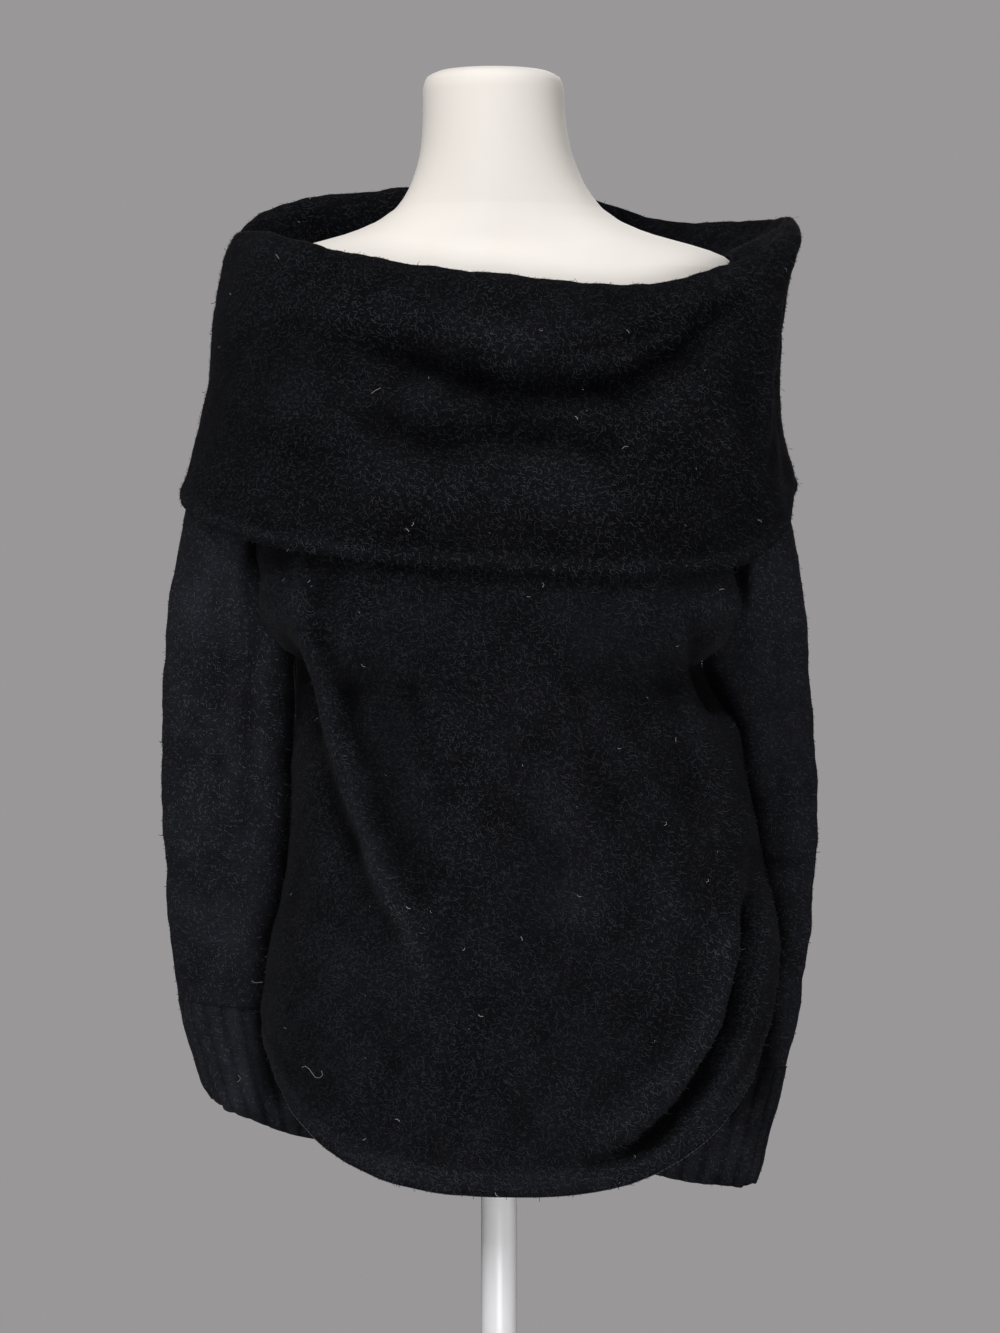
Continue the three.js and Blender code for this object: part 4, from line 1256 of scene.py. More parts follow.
def wool_material(look, settings):
    row = row_of(LOOKS, "look", look)
    values = {
        "Dark": (*toned(settings.wool_dark, row["tone"]), 1),
        "Light": (*toned(settings.wool_light, row["tone"]), 1),
        "Nap Scale": row["nap_scale"],
        "Nap Amount": row["nap_amount"],
        "Stitch Width": row["stitch_width"],
        "Stitch Height": row["stitch_height"],
        "Stitch Depth": row["stitch_depth"],
    }
    sheen = {
        "Sheen Weight": settings.sheen,
        "Sheen Roughness": 0.45,
        "Sheen Tint": (0.62, 0.63, 0.68, 1),
        "Specular IOR Level": WOOL_GLOSS,
    }
    group = shared_group("Felted knit", felted_knit_group)
    return grouped_material(look, group, values, row["bump"], WOOL_BUMP_DISTANCE, sheen, True)


def worn_material(name, base, worn, grain, roughness, bump, shader_values, painted_fold_shade=False):
    """A material of fine wear. roughness and bump are pairs: smooth and rough, strength and distance."""
    values = {
        "Base": (*base, 1),
        "Worn": (*worn, 1),
        "Grain Scale": grain,
        "Smooth": roughness[0],
        "Rough": roughness[1],
    }
    group = shared_group("Fine wear", fine_wear_group)
    return grouped_material(name, group, values, *bump, shader_values, painted_fold_shade)


def hair_material(name, shade, light, smooth, painted_fold_shade=False):
    gloss = {"Specular IOR Level": WOOL_GLOSS}
    return worn_material(name, light, shade, 500.0, (smooth, 0.9), (0.1, 0.0002), gloss, painted_fold_shade)


# Strands and loops by Geometry Nodes
# Curls of a strand: how far its middle and its tip lie aside, and how far both are lifted
CURLS = (
    (0.34, 0.10, 0.9, 0.55),
    (-0.30, 0.34, 0.7, 1.3),
    (0.5, -0.24, 1.2, 0.2),
)
CURL_SHARES = (0.5, 0.9)
STRAND_SIZES = (0.45, 1.35)
STRAND_POINTS = 3
LOOP_TILT = 0.42
LOOP_POINTS = 4
LOOP_SIDES = 6


def cross_line(tree, length):
    """A straight curve along x, with its middle at the origin."""
    ends = {}
    for title, share in (("Start", -0.5), ("End", 0.5)):
        x = multiplied(tree, length, share)
        ends[title] = tree_node(tree, "ShaderNodeCombineXYZ", {"X": x}).outputs[0]
    return tree_node(tree, "GeometryNodeCurvePrimitiveLine", ends).outputs[0]


def curl_point(tree, given, share, sideways, lift):
    """A point of a curl, by shares of the strand's length along it, aside and upwards."""
    inputs = {0: (share, sideways, 0), "Scale": given["Length"]}
    across = tree_node(tree, "ShaderNodeVectorMath", inputs, operation="SCALE").outputs[0]
    rise = multiplied(tree, given["Lift"], given["Length"], lift)
    up = tree_node(tree, "ShaderNodeCombineXYZ", {"Z": rise}).outputs[0]
    return tree_node(tree, "ShaderNodeVectorMath", {0: across, 1: up}, operation="ADD").outputs[0]


def random_node(tree, kind, low, high, seed):
    """A random number from low to high for each point."""
    first = {"FLOAT": 2, "INT": 4}[kind]
    inputs = {first: low, first + 1: high, "Seed": seed}
    return tree_node(tree, "FunctionNodeRandomValue", inputs, data_type=kind).outputs[first // 2]


def turned(tree, rotation, angle):
    """A rotation with a further turn about its own z axis."""
    spin = tree_node(tree, "FunctionNodeAxisAngleToRotation", {"Axis": (0, 0, 1), "Angle": angle})
    inputs = {"Rotation": rotation, "Rotate By": spin.outputs[0]}
    return tree_node(tree, "FunctionNodeRotateRotation", inputs, rotation_space="LOCAL").outputs[0]


def realized(tree, points, instance, rotation, **more):
    """Real copies of an instance on points."""
    inputs = {"Points": points, "Instance": instance, "Rotation": rotation, **more}
    placed = tree_node(tree, "GeometryNodeInstanceOnPoints", inputs)
    return tree_node(tree, "GeometryNodeRealizeInstances", {"Geometry": placed.outputs[0]}).outputs[0]


def strand_tree():
    """Short curled strands strewn over the outer side of a cloth."""
    tree, given, out = new_tree(
        "GeometryNodeTree",
        "Curled strands",
        (
            ("Cloth", GEOMETRY, None),
            ("Density", FLOAT, 60000.0),
            ("Length", FLOAT, 0.006),
            ("Width", FLOAT, 0.0002),
            ("Lift", FLOAT, 0.2),
            ("Seed", "NodeSocketInt", 1),
            ("Material", "NodeSocketMaterial", None),
        ),
        (("Strands", GEOMETRY),),
    )
    seed = given["Seed"]
    outer = tree_node(
        tree, "GeometryNodeInputNamedAttribute", {"Name": "outer_side"}, data_type="BOOLEAN"
    )
    inputs = {
        "Mesh": given["Cloth"],
        "Selection": outer.outputs["Attribute"],
        "Density": given["Density"],
        "Seed": seed,
    }
    spread = tree_node(tree, "GeometryNodeDistributePointsOnFaces", inputs, distribute_method="RANDOM")
    shapes = tree_node(tree, "GeometryNodeJoinGeometry")
    ribbon = cross_line(tree, given["Width"])
    for bow, tip, middle_lift, tip_lift in CURLS:
        inputs = {
            "Resolution": 2,
            "Start": (0, 0, 0),
            "Middle": curl_point(tree, given, CURL_SHARES[0], bow, middle_lift),
            "End": curl_point(tree, given, CURL_SHARES[1], tip, tip_lift),
        }
        curl = tree_node(tree, "GeometryNodeCurveQuadraticBezier", inputs)
        inputs = {"Curve": curl.outputs[0], "Count": STRAND_POINTS}
        sparse = tree_node(tree, "GeometryNodeResampleCurve", inputs)
        level = tree_node(tree, "GeometryNodeSetCurveNormal", {"Curve": sparse.outputs[0]}, mode="Z_UP")
        inputs = {"Curve": level.outputs[0], "Profile Curve": ribbon}
        strip = tree_node(tree, "GeometryNodeCurveToMesh", inputs)
        single = tree_node(tree, "GeometryNodeGeometryToInstance", {"Geometry": strip.outputs[0]})
        tree.links.new(single.outputs[0], shapes.inputs[0])
    rotation = turned(
        tree, spread.outputs["Rotation"], random_node(tree, "FLOAT", 0.0, 2 * math.pi, seed)
    )
    choice = {
        "Pick Instance": True,
        "Instance Index": random_node(tree, "INT", 0, len(CURLS) - 1, seed),
        "Scale": random_node(tree, "FLOAT", *STRAND_SIZES, seed),
    }
    whole = realized(tree, spread.outputs["Points"], shapes.outputs[0], rotation, **choice)
    painted = tree_node(
        tree, "GeometryNodeSetMaterial", {"Geometry": whole, "Material": given["Material"]}
    )
    tree.links.new(painted.outputs[0], out["Strands"])
    return tree


def stitch_tree():
    """Small sewn loops at even steps along lines."""
    tree, given, out = new_tree(
        "GeometryNodeTree",
        "Sewn loops",
        (
            ("Lines", GEOMETRY, None),
            ("Step", FLOAT, 0.0034),
            ("Length", FLOAT, 0.0026),
            ("Thickness", FLOAT, 0.0004),
            ("Material", "NodeSocketMaterial", None),
        ),
        (("Loops", GEOMETRY),),
    )
    line = tree_node(tree, "GeometryNodeMeshToCurve", {"Mesh": given["Lines"]})
    inputs = {"Curve": line.outputs[0], "Length": given["Step"]}
    even = tree_node(tree, "GeometryNodeResampleCurve", inputs, mode="LENGTH")
    tangent = tree_node(tree, "GeometryNodeInputTangent")
    aimed = tree_node(
        tree, "FunctionNodeAlignRotationToVector", {"Vector": tangent.outputs[0]}, axis="X"
    )
    slanted = turned(tree, aimed.outputs[0], LOOP_TILT)
    inputs = {"Curve": cross_line(tree, given["Length"]), "Count": LOOP_POINTS}
    bead = tree_node(tree, "GeometryNodeResampleCurve", inputs)
    along = tree_node(tree, "GeometryNodeSplineParameter").outputs["Factor"]
    swell = math_node(tree, "SINE", multiplied(tree, along, math.pi))
    swell = math_node(tree, "ADD", multiplied(tree, swell, 0.7), 0.35)
    inputs = {"Resolution": LOOP_SIDES, "Radius": given["Thickness"]}
    ring = tree_node(tree, "GeometryNodeCurvePrimitiveCircle", inputs)
    inputs = {
        "Curve": bead.outputs[0],
        "Profile Curve": ring.outputs[0],
        "Scale": swell,
        "Fill Caps": True,
    }
    thread = tree_node(tree, "GeometryNodeCurveToMesh", inputs)
    whole = realized(tree, even.outputs[0], thread.outputs[0], slanted)
    soft = tree_node(tree, "GeometryNodeSetShadeSmooth", {"Geometry": whole})
    inputs = {"Geometry": soft.outputs[0], "Material": given["Material"]}
    painted = tree_node(tree, "GeometryNodeSetMaterial", inputs)
    tree.links.new(painted.outputs[0], out["Loops"])
    return tree


def grown_mesh(name, source, tree, values):
    """The plain mesh that a Geometry Nodes tree makes from a source mesh."""
    carrier = bpy.data.objects.new(f"{name}_carrier", source)
    bpy.context.scene.collection.objects.link(carrier)
    modifier = carrier.modifiers.new("grown", "NODES")
    modifier.node_group = tree
    sockets = {
        item.name: item.identifier for item in tree.interface.items_tree if item.in_out == "INPUT"
    }
    for title, value in values.items():
        modifier[sockets[title]] = value
    bpy.context.view_layer.update()
    evaluated = carrier.evaluated_get(bpy.context.evaluated_depsgraph_get())
    mesh = bpy.data.meshes.new_from_object(evaluated)
    mesh.name = name
    carrier.modifiers.remove(modifier)
    bpy.data.objects.remove(carrier)
    return mesh


def grown_piece(name, source, tree, slot, values):
    """A piece of its own that a Geometry Nodes tree makes from a source mesh."""
    mesh = grown_mesh(name, source, tree, values)
    return settle(new_piece(name, mesh, values["Material"]), slot)


# Cloth settings
CLOTH_PIECES = table(
    "piece node slot look flat_width flat_length area",
    ("front_cloth", "body_front", "knit_body", "body_felt", 0.66, 0.74, 0.33),
    ("back_cloth", "body_back", "knit_body", "body_felt", 0.60, 0.74, 0.31),
    ("right_sleeve_cloth", "sleeve_right", "knit_sleeve", "sleeve_knit", 0.27, 0.60, 0.12),
    ("left_sleeve_cloth", "sleeve_left", "knit_sleeve", "sleeve_knit", 0.27, 0.64, 0.12),
    ("right_cuff_cloth", "cuff_right", "knit_cuff", "cuff_rib", 0.245, 0.095, 0.0232),
    ("left_cuff_cloth", "cuff_left", "knit_cuff", "cuff_rib", 0.245, 0.098, 0.0238),
    ("cowl_cloth", "cowl_collar", "knit_cowl", "cowl_felt", 1.16, 0.34, 0.37),
)


def color_setting(name, description, default):
    return FloatVectorProperty(
        name=name, description=description, default=default, subtype="COLOR", min=0, max=1
    )


def share_setting(name, description, default):
    return FloatProperty(
        name=name, description=description, default=default, min=0, max=1, subtype="FACTOR"
    )


def length_setting(name, description, default):
    return FloatProperty(
        name=name, description=description, default=default, unit="LENGTH", subtype="DISTANCE"
    )


def amount_setting(name, description, default):
    return FloatProperty(name=name, description=description, default=default, min=0)


class SweaterClothSettings(PropertyGroup):
    """Sizes and colours of the wool."""

    wool_dark: color_setting("Wool Shade", "The wool between its hairs", (0.0010, 0.0010, 0.0014))
    wool_light: color_setting("Wool Light", "The wool's raised hairs", (0.022, 0.023, 0.029))
    sheen: share_setting("Sheen", "How strongly the nap catches light at its edges", 0.03)
    nap_density: amount_setting("Nap Density", "Loose hairs on a square metre of cloth", 120000)
    nap_length: length_setting("Nap Length", "Length of a loose hair", 0.0029)
    nap_width: length_setting("Nap Width", "Width of a loose hair", 0.00036)
    stitch_step: length_setting("Stitch Step", "Distance between two sewn loops", 0.0036)
    seed: IntProperty(name="Seed", description="Start of the random order of the hairs", default=7)


class SweaterFormSettings(PropertyGroup):
    """Colours of the dress form and its stand."""

    cover: color_setting("Cover", "The form's stretched cover", (0.82, 0.78, 0.735))
    paint: color_setting("Paint", "The stand's paint", (0.90, 0.90, 0.92))


class SweaterStageSettings(PropertyGroup):
    """Light, floor and camera."""

    backdrop: amount_setting("Backdrop", "Brightness of the plain grey behind the object", 0.31)
    ambient: share_setting("Ambient", "Share of the backdrop's light that reaches the object", 0.2)
    light_power: amount_setting("Light Power", "Power that each soft light takes its share of", 64)
    camera_distance: length_setting("Camera Distance", "From the camera to the pole's axis", 3.2)
    camera_height: length_setting("Camera Height", "Height of the camera over the floor", 1.0322)
    view_height: length_setting("View Height", "Height that the picture takes in at the pole", 1.0397)


def hem_bead(down, start):
    """A fine thickening that runs along a hem."""
    return np.exp(-(((down - start) / (1 - start) / 0.5 - 1) ** 2) * 2)


def body_hem(across, down, grid):
    return HEM_BEAD * BODY_BEAD_SHARE * hem_bead(down, BODY_HEM_START)


def cowl_hem(around, along, grid):
    return HEM_BEAD * hem_bead(along, COWL_HEM_START)


# A painted highlight along the cowl's hem.
def cowl_hem_highlight(around, along, grid):
    return -HEM_HIGHLIGHT * hem_bead(along, COWL_HEM_START)


def side_shade_and_hem_highlight(across, down, grid):
    """Painted shade on the body's sides between it and the sleeves, and a painted highlight along its
    hem.
    """
    width = np.abs(grid[:, -1:, 0] - grid[:, :1, 0])
    apart = np.minimum(across, 1 - across) * width
    below = 1 - smooth_step(grid[..., 2], *BODY_BESIDE_HIGH)
    near_sleeves = smooth_step(grid[..., 2], *BODY_BESIDE_LOW)
    beside = BESIDE_SHADE_DEPTH * np.exp(-((apart / BESIDE_SHADE_REACH) ** 2)) * below * near_sleeves
    return beside - HEM_HIGHLIGHT * hem_bead(down, BODY_HEM_START)


def sleeve_shade_by_body(around, down, grid):
    """Painted shade on the sleeve's side that faces the body, or that lies behind its edge."""
    x = grid[..., 0]
    z = grid[..., 2]
    inner = np.abs(x).min(axis=1, keepdims=True)
    seams = body_seams(z)
    edge = np.where(x < 0, -seams["right"], seams["left"])
    apart = np.maximum(0, np.abs(x) - np.maximum(inner, edge))
    beside = np.exp(-((apart / BESIDE_SHADE_REACH) ** 2)) * smooth_step(z, *SLEEVE_BESIDE_LOW)
    aside = (x - SLEEVE_GAP_SHADE["x"]) / SLEEVE_GAP_SHADE["spread_x"]
    above = (z - SLEEVE_GAP_SHADE["z"]) / SLEEVE_GAP_SHADE["spread_z"]
    gap = np.exp(-(aside**2) - above**2)
    return BESIDE_SHADE_DEPTH * beside + SLEEVE_GAP_SHADE["depth"] * gap


def cloth_piece(name, mesh):
    """A finished piece of cloth with its wool's material, standing in for its node."""
    row = row_of(CLOTH_PIECES, "piece", name)
    look = row["look"]
    material = bpy.data.materials.get(look)
    material = material or wool_material(look, bpy.context.scene.sweater_cloth)
    piece = new_piece(name, mesh, material)
    settle(piece, row["slot"], [row["node"]])
    return piece


def stations_down(above, below):
    """Shares of the way down, closer together near the neckline."""
    upper = 0.5 * np.linspace(0, 1, above, endpoint=False) ** 1.15
    return np.concatenate((upper, np.linspace(0.5, 1, below)))


# The form's mesh: its sides, its levels, two more at its upper round, and the rings of its cap.
# Each ring of the cap is a share of the top's size and a rise over it.
FORM_SIDES = 112
FORM_LEVELS = 96
FORM_ROUND_LEVELS = [1487, 1493]
FORM_CAP = ((0.86, 0.6), (0.6, 0.9), (0.3, 1.0))
PALE_BUMP_DISTANCE = 0.0004
COVER_WEAR = (0.93, 0.915, 0.89)
PAINT_WEAR = 0.93


class SWEATER_OT_dress_form(Operator):
    """Build the covered dress form"""

    bl_idname = "sweater.dress_form"
    bl_label = "Dress Form"

    def execute(self, context):
        angles = np.linspace(0, 2 * math.pi, FORM_SIDES, endpoint=False)
        heights = FORM_BOTTOM + (FORM_TOP - FORM_BOTTOM) * np.linspace(0, 1, FORM_LEVELS)
        levels = [row["height"] for row in FORM_SECTIONS]
        heights = np.unique(np.concatenate((heights, levels, FORM_ROUND_LEVELS)))
        rings = [form_point(angles, np.full_like(angles, height)) for height in heights]
        top = form_section(FORM_TOP)
        for share, rise in FORM_CAP:
            section = {**top, **{side: top[side] * share for side in ("half_width", "front", "back")}}
            rings.append(oval_point(section, angles, np.full_like(angles, FORM_TOP + rise)))
        cover = tuple(context.scene.sweater_form.cover)
        worn = tuple(value * share for value, share in zip(cover, COVER_WEAR))
        gloss = {"Sheen Weight": 0.15, "Specular IOR Level": 0.3}
        bump = (0.25, PALE_BUMP_DISTANCE)
        material = worn_material("form_cover_cloth", cover, worn, 1300.0, (0.62, 0.8), bump, gloss)
        piece = new_piece("form_cover", turned_mesh("form_cover", np.stack(rings)), material)
        settle(piece, "form_cover", ["form_torso"])
        return {"FINISHED"}


def stand_profiles():
    """The profiles of the round base with its hub, and of the pole, as radius and height."""
    socket = POLE_RADIUS + SEAM_GAP
    pole_foot = BASE_HEIGHT + SEAM_GAP
    pole_top = FORM_BOTTOM - SEAM_GAP
    quarter = [step / 6 * math.pi / 2 for step in range(7)]
    round_x = BASE_RADIUS - BASE_ROUND
    round_z = BASE_HEIGHT - BASE_ROUND
    base = [
        (BASE_RADIUS - 1, 0),
        (BASE_RADIUS - 0.3, 0.3),
        (BASE_RADIUS, 1),
        *(
            (round_x + BASE_ROUND * math.cos(turn), round_z + BASE_ROUND * math.sin(turn))
            for turn in quarter
        ),
        (90, BASE_HEIGHT),
        (HUB_RADIUS + 3, BASE_HEIGHT),
        (HUB_RADIUS + 0.8, BASE_HEIGHT + 0.8),
        (HUB_RADIUS, BASE_HEIGHT + 3),
        (HUB_RADIUS - 1.6, HUB_HEIGHT - 2),
        (HUB_RADIUS - 2.2, HUB_HEIGHT - 0.6),
        (HUB_RADIUS - 3.6, HUB_HEIGHT),
        (socket + 0.6, HUB_HEIGHT),
        (socket, HUB_HEIGHT - 0.6),
        (socket, BASE_HEIGHT + 0.01),
    ]
    pole = [
        (POLE_RADIUS - 0.5, pole_foot),
        (POLE_RADIUS, pole_foot + 0.5),
        (POLE_RADIUS, 260),
        (POLE_RADIUS, 500),
        (POLE_RADIUS, pole_top - 0.5),
        (POLE_RADIUS - 0.5, pole_top),
    ]
    return base, pole


class SWEATER_OT_stand(Operator):
    """Build the pole and the round base"""

    bl_idname = "sweater.stand"
    bl_label = "Stand"

    def execute(self, context):
        paint = tuple(context.scene.sweater_form.paint)
        coat = {"Coat Weight": 0.25, "Coat Roughness": 0.15}
        bump = (0.08, PALE_BUMP_DISTANCE)
        worn = toned(paint, PAINT_WEAR)
        material = worn_material("stand_paint", paint, worn, 600.0, (0.28, 0.42), bump, coat)
        base, pole = stand_profiles()
        for name, profile, sides, node in (
            ("round_base", base, 128, "stand_base"),
            ("pole_tube", pole, 64, "stand_pole"),
        ):
            mesh = turned_mesh(name, turned_rings(profile, sides))
            settle(new_piece(name, mesh, material), "stand", [node])
        return {"FINISHED"}


class SWEATER_OT_body(Operator):
    """Build the front and the back of the body"""

    bl_idname = "sweater.body"
    bl_label = "Front and Back"

    def execute(self, context):
        downs = stations_down(*BODY_ROWS)
        reach = (SEWN_EDGE, HEM_EDGE, SEWN_EDGE, SEWN_EDGE)
        for name, columns in (("front_cloth", FRONT_COLUMNS), ("back_cloth", BACK_COLUMNS)):
            surface = panel_surface(name == "front_cloth")
            shape = (surface, columns, downs, BODY_WALL, False, reach)
            cloth_piece(name, cloth_shell(name, *shape, body_hem, side_shade_and_hem_highlight))
        return {"FINISHED"}


def sleeve_cloth(which):
    """A sleeve from the neckline to its cuff, as a surface of two shares."""
    hole = math.radians(float(armhole_angle(NECKLINE["side"])))

    def surface(around, down):
        top = neckline_height((2 * around - 1) * hole)
        return SLEEVE_SURFACES[which](around, height_down(top, SLEEVES[which]["cuff_top"], down))

    return surface


class SWEATER_OT_sleeves(Operator):
    """Build both sleeves"""

    bl_idname = "sweater.sleeves"
    bl_label = "Sleeves"

    def execute(self, context):
        for which in SLEEVES:
            name = f"{which}_sleeve_cloth"
            shape = (sleeve_cloth(which), SLEEVE_STEPS, stations_down(*SLEEVE_ROWS), BODY_WALL)
            mesh = cloth_shell(name, *shape, False, (SEWN_EDGE,) * 4, None, sleeve_shade_by_body)
            cloth_piece(name, mesh)
        return {"FINISHED"}


def cuff_cloth(which):
    """A cuff from its seam to its wavy end, as a surface of two shares."""
    sleeve = SLEEVES[which]
    top = sleeve["cuff_top"] - SEAM_GAP

    def surface(around, down):
        outer = smooth_step(-np.cos(2 * math.pi * around), CUFF_CORNER_FROM, 1)
        end = sleeve["end"] + CUFF_WAVE * np.sin(6 * math.pi * around + 1) + CUFF_CORNER * outer
        return SLEEVE_SURFACES[which](np.mod(around, 1), top + (end - top) * down)

    return surface


def ribs(around, down, grid):
    """Upright ribs, drawn in towards the cuff's end."""
    phase = np.mod(around * CUFF_RIBS, 1)
    valley = np.exp(-((np.minimum(phase, 1 - phase) / RIB_VALLEY) ** 2))
    return RIB_HEIGHT * (0.5 - 1.5 * valley) - CUFF_DRAWN_IN * smooth_step(down, CUFF_DRAWN_FROM, 1)


class SWEATER_OT_cuffs(Operator):
    """Build both ribbed cuffs"""

    bl_idname = "sweater.cuffs"
    bl_label = "Cuffs"

    def execute(self, context):
        for which in SLEEVES:
            name = f"{which}_cuff_cloth"
            shape = (cuff_cloth(which), CUFF_RIBS * RIB_STEPS, np.linspace(0, 1, CUFF_ROWS), BODY_WALL)
            mesh = cloth_shell(name, *shape, True, (SEWN_EDGE, HEM_EDGE), ribs, sleeve_shade_by_body)
            cloth_piece(name, mesh)
        return {"FINISHED"}


class SWEATER_OT_cowl(Operator):
    """Build the turned-down cowl"""

    bl_idname = "sweater.cowl"
    bl_label = "Cowl"

    def execute(self, context):
        upper = np.linspace(0, COWL_HEM_BAND, COWL_ROWS[0], endpoint=False)
        downs = np.concatenate((upper, np.linspace(COWL_HEM_BAND, 1, COWL_ROWS[1])))
        shape = (cowl_surface, COWL_STEPS, downs, COWL_WALL, True, (SEWN_EDGE, COWL_HEM_EDGE))
        cloth_piece("cowl_cloth", cloth_shell("cowl_cloth", *shape, cowl_hem, cowl_hem_highlight))
        return {"FINISHED"}


# Loose hairs: a lying nap and a few longer hairs that stand out.
# share, length and lift are shares of the settings' density and length, and of a hair's length.
NAPS = table(
    "part kind share length lift",
    ("cowl", "nap", 1.0, 1.0, 0.28),
    ("front", "nap", 1.0, 1.0, 0.28),
    ("back", "nap", 0.6, 1.0, 0.28),
    ("right_sleeve", "nap", 0.65, 0.75, 0.3),
    ("left_sleeve", "nap", 0.65, 0.75, 0.3),
    ("right_cuff", "nap", 0.4, 0.7, 0.28),
    ("left_cuff", "nap", 0.4, 0.7, 0.28),
    ("cowl", "fuzz", 0.06, 1.3, 0.6),
    ("front", "fuzz", 0.06, 1.3, 0.6),
    ("back", "fuzz", 0.06, 1.3, 0.6),
    ("right_sleeve", "fuzz", 0.06, 1.0, 0.6),
    ("left_sleeve", "fuzz", 0.06, 1.0, 0.6),
)
HAIR_SHADE = (0.009, 0.0094, 0.0118)
HAIR_LIGHT = (0.037, 0.0388, 0.0465)
# The cowl's hairs are toned darker than the body's: painted shade on the cowl.
HAIR_TONES = {"knit_cowl": 0.7, "knit_body": 0.82, "knit_sleeve": 1.5, "knit_cuff": 1.6}
HAIR_SMOOTH = 0.7


class SWEATER_OT_nap(Operator):
    """Strew the loose curled hairs of the wool over its outer side"""

    bl_idname = "sweater.nap"
    bl_label = "Nap"

    def execute(self, context):
        settings = context.scene.sweater_cloth
        tree = strand_tree()
        for number, row in enumerate(NAPS):
            cloth = f"{row['part']}_cloth"
            slot = row_of(CLOTH_PIECES, "piece", cloth)["slot"]
            look = slot.replace("knit", "hair")
            colors = [toned(color, HAIR_TONES[slot]) for color in (HAIR_SHADE, HAIR_LIGHT)]
            material = bpy.data.materials.get(look) or hair_material(look, *colors, HAIR_SMOOTH, True)
            values = {
                "Density": settings.nap_density * row["share"],
                "Length": settings.nap_length * row["length"],
                "Width": settings.nap_width,
                "Lift": row["lift"],
                "Seed": settings.seed + number,
                "Material": material,
            }
            name = f"{row['part']}_{row['kind']}"
            grown_piece(name, bpy.data.objects[cloth].data, tree, slot, values)
        bpy.data.node_groups.remove(tree)
        return {"FINISHED"}


def line_mesh(name, lines):
    """Edges through each line of points."""
    points = np.concatenate(lines) * MM
    edges = []
    start = 0
    for line in lines:
        edges += [(start + i, start + i + 1) for i in range(len(line) - 1)]
        start += len(line)
    mesh = bpy.data.meshes.new(name)
    mesh.from_pydata(points.tolist(), edges, [])
    return mesh


def hem_line(cloth, columns):
    """The outermost line of points on a finished hem, without its rounded corners."""
    vertices = bpy.data.objects[cloth].data.vertices
    spots = np.empty(len(vertices) * 3, np.float32)
    vertices.foreach_get("co", spots)
    corner = len(EDGE_PROFILE)
    return spots.reshape(2, -1, columns + 1 + 2 * corner, 3)[0, -1, corner:-corner] / MM


# Sewn lines: their first and last share of the way, and how many points they have
SIDE_SEAM = (0.505, 0.985, 90)
ARMHOLE_SEAM = (0.08, 0.495, 60)
CUFF_SEAM = (0.002, 0.998, 90)
SIDE_SEAM_OUT = 0.2
CUFF_SEAM_DROP = 0.1

# A sleeve's seam stops short of its cuff and of the underarm
SLEEVE_SEAM_ENDS = (4, 6)
SLEEVE_SEAM_POINTS = 70
STITCH_THICKNESS = 0.00042
STITCH_SHARE = 0.9
HEM_LOOP = {"Length": 0.0046, "Thickness": 0.00032}
THREAD_SMOOTH = 0.75


def seam_lines():
    """The lines of the side seams, the armholes, the cuffs' tops and the sleeves' seams."""
    lines = []
    front = panel_surface(True)
    back = panel_surface(False)
    for share, side in ((0.0, -1), (1.0, 1)):
        down = np.linspace(*SIDE_SEAM)
        seam = front(np.full_like(down, share), down)
        seam[:, 0] += side * SIDE_SEAM_OUT
        lines.append(seam)
        down = np.linspace(*ARMHOLE_SEAM)
        lines += [panel(np.full_like(down, share), down) for panel in (front, back)]
    for which, sleeve in SLEEVES.items():
        surface = SLEEVE_SURFACES[which]
        around = np.linspace(*CUFF_SEAM)
        lines.append(surface(around, np.full_like(around, sleeve["cuff_top"] - CUFF_SEAM_DROP)))
        low, high = sleeve["cuff_top"] + SLEEVE_SEAM_ENDS[0], UNDERARM - SLEEVE_SEAM_ENDS[1]
        height = np.linspace(low, high, SLEEVE_SEAM_POINTS)
        lines.append(surface(np.zeros_like(height), height))
    return lines


class SWEATER_OT_seams(Operator):
    """Sew the side seams, the armholes and the cuffs, and edge the front's hem"""

    bl_idname = "sweater.seams"
    bl_label = "Seams"

    def execute(self, context):
        step = context.scene.sweater_cloth.stitch_step
        tree = stitch_tree()
        material = hair_material(
            "seam_thread", (0.006, 0.006, 0.007), (0.022, 0.022, 0.025), THREAD_SMOOTH
        )
        values = {
            "Step": step,
            "Length": step * STITCH_SHARE,
            "Thickness": STITCH_THICKNESS,
            "Material": material,
        }
        grown_piece("seam_stitches", line_mesh("seam_lines", seam_lines()), tree, "knit_body", values)
        # Loops along the front's hem, far lighter than the wool: a painted highlight on the hem's edge.
        material = hair_material(
            "hem_edge_highlight", (0.08, 0.08, 0.086), (0.12, 0.12, 0.13), THREAD_SMOOTH
        )
        values = {"Step": step, **HEM_LOOP, "Material": material}
        hem = line_mesh("hem_lines", [hem_line("front_cloth", FRONT_COLUMNS)])
        grown_piece("hem_edge_loops", hem, tree, "knit_body", values)
        bpy.data.node_groups.remove(tree)
        return {"FINISHED"}


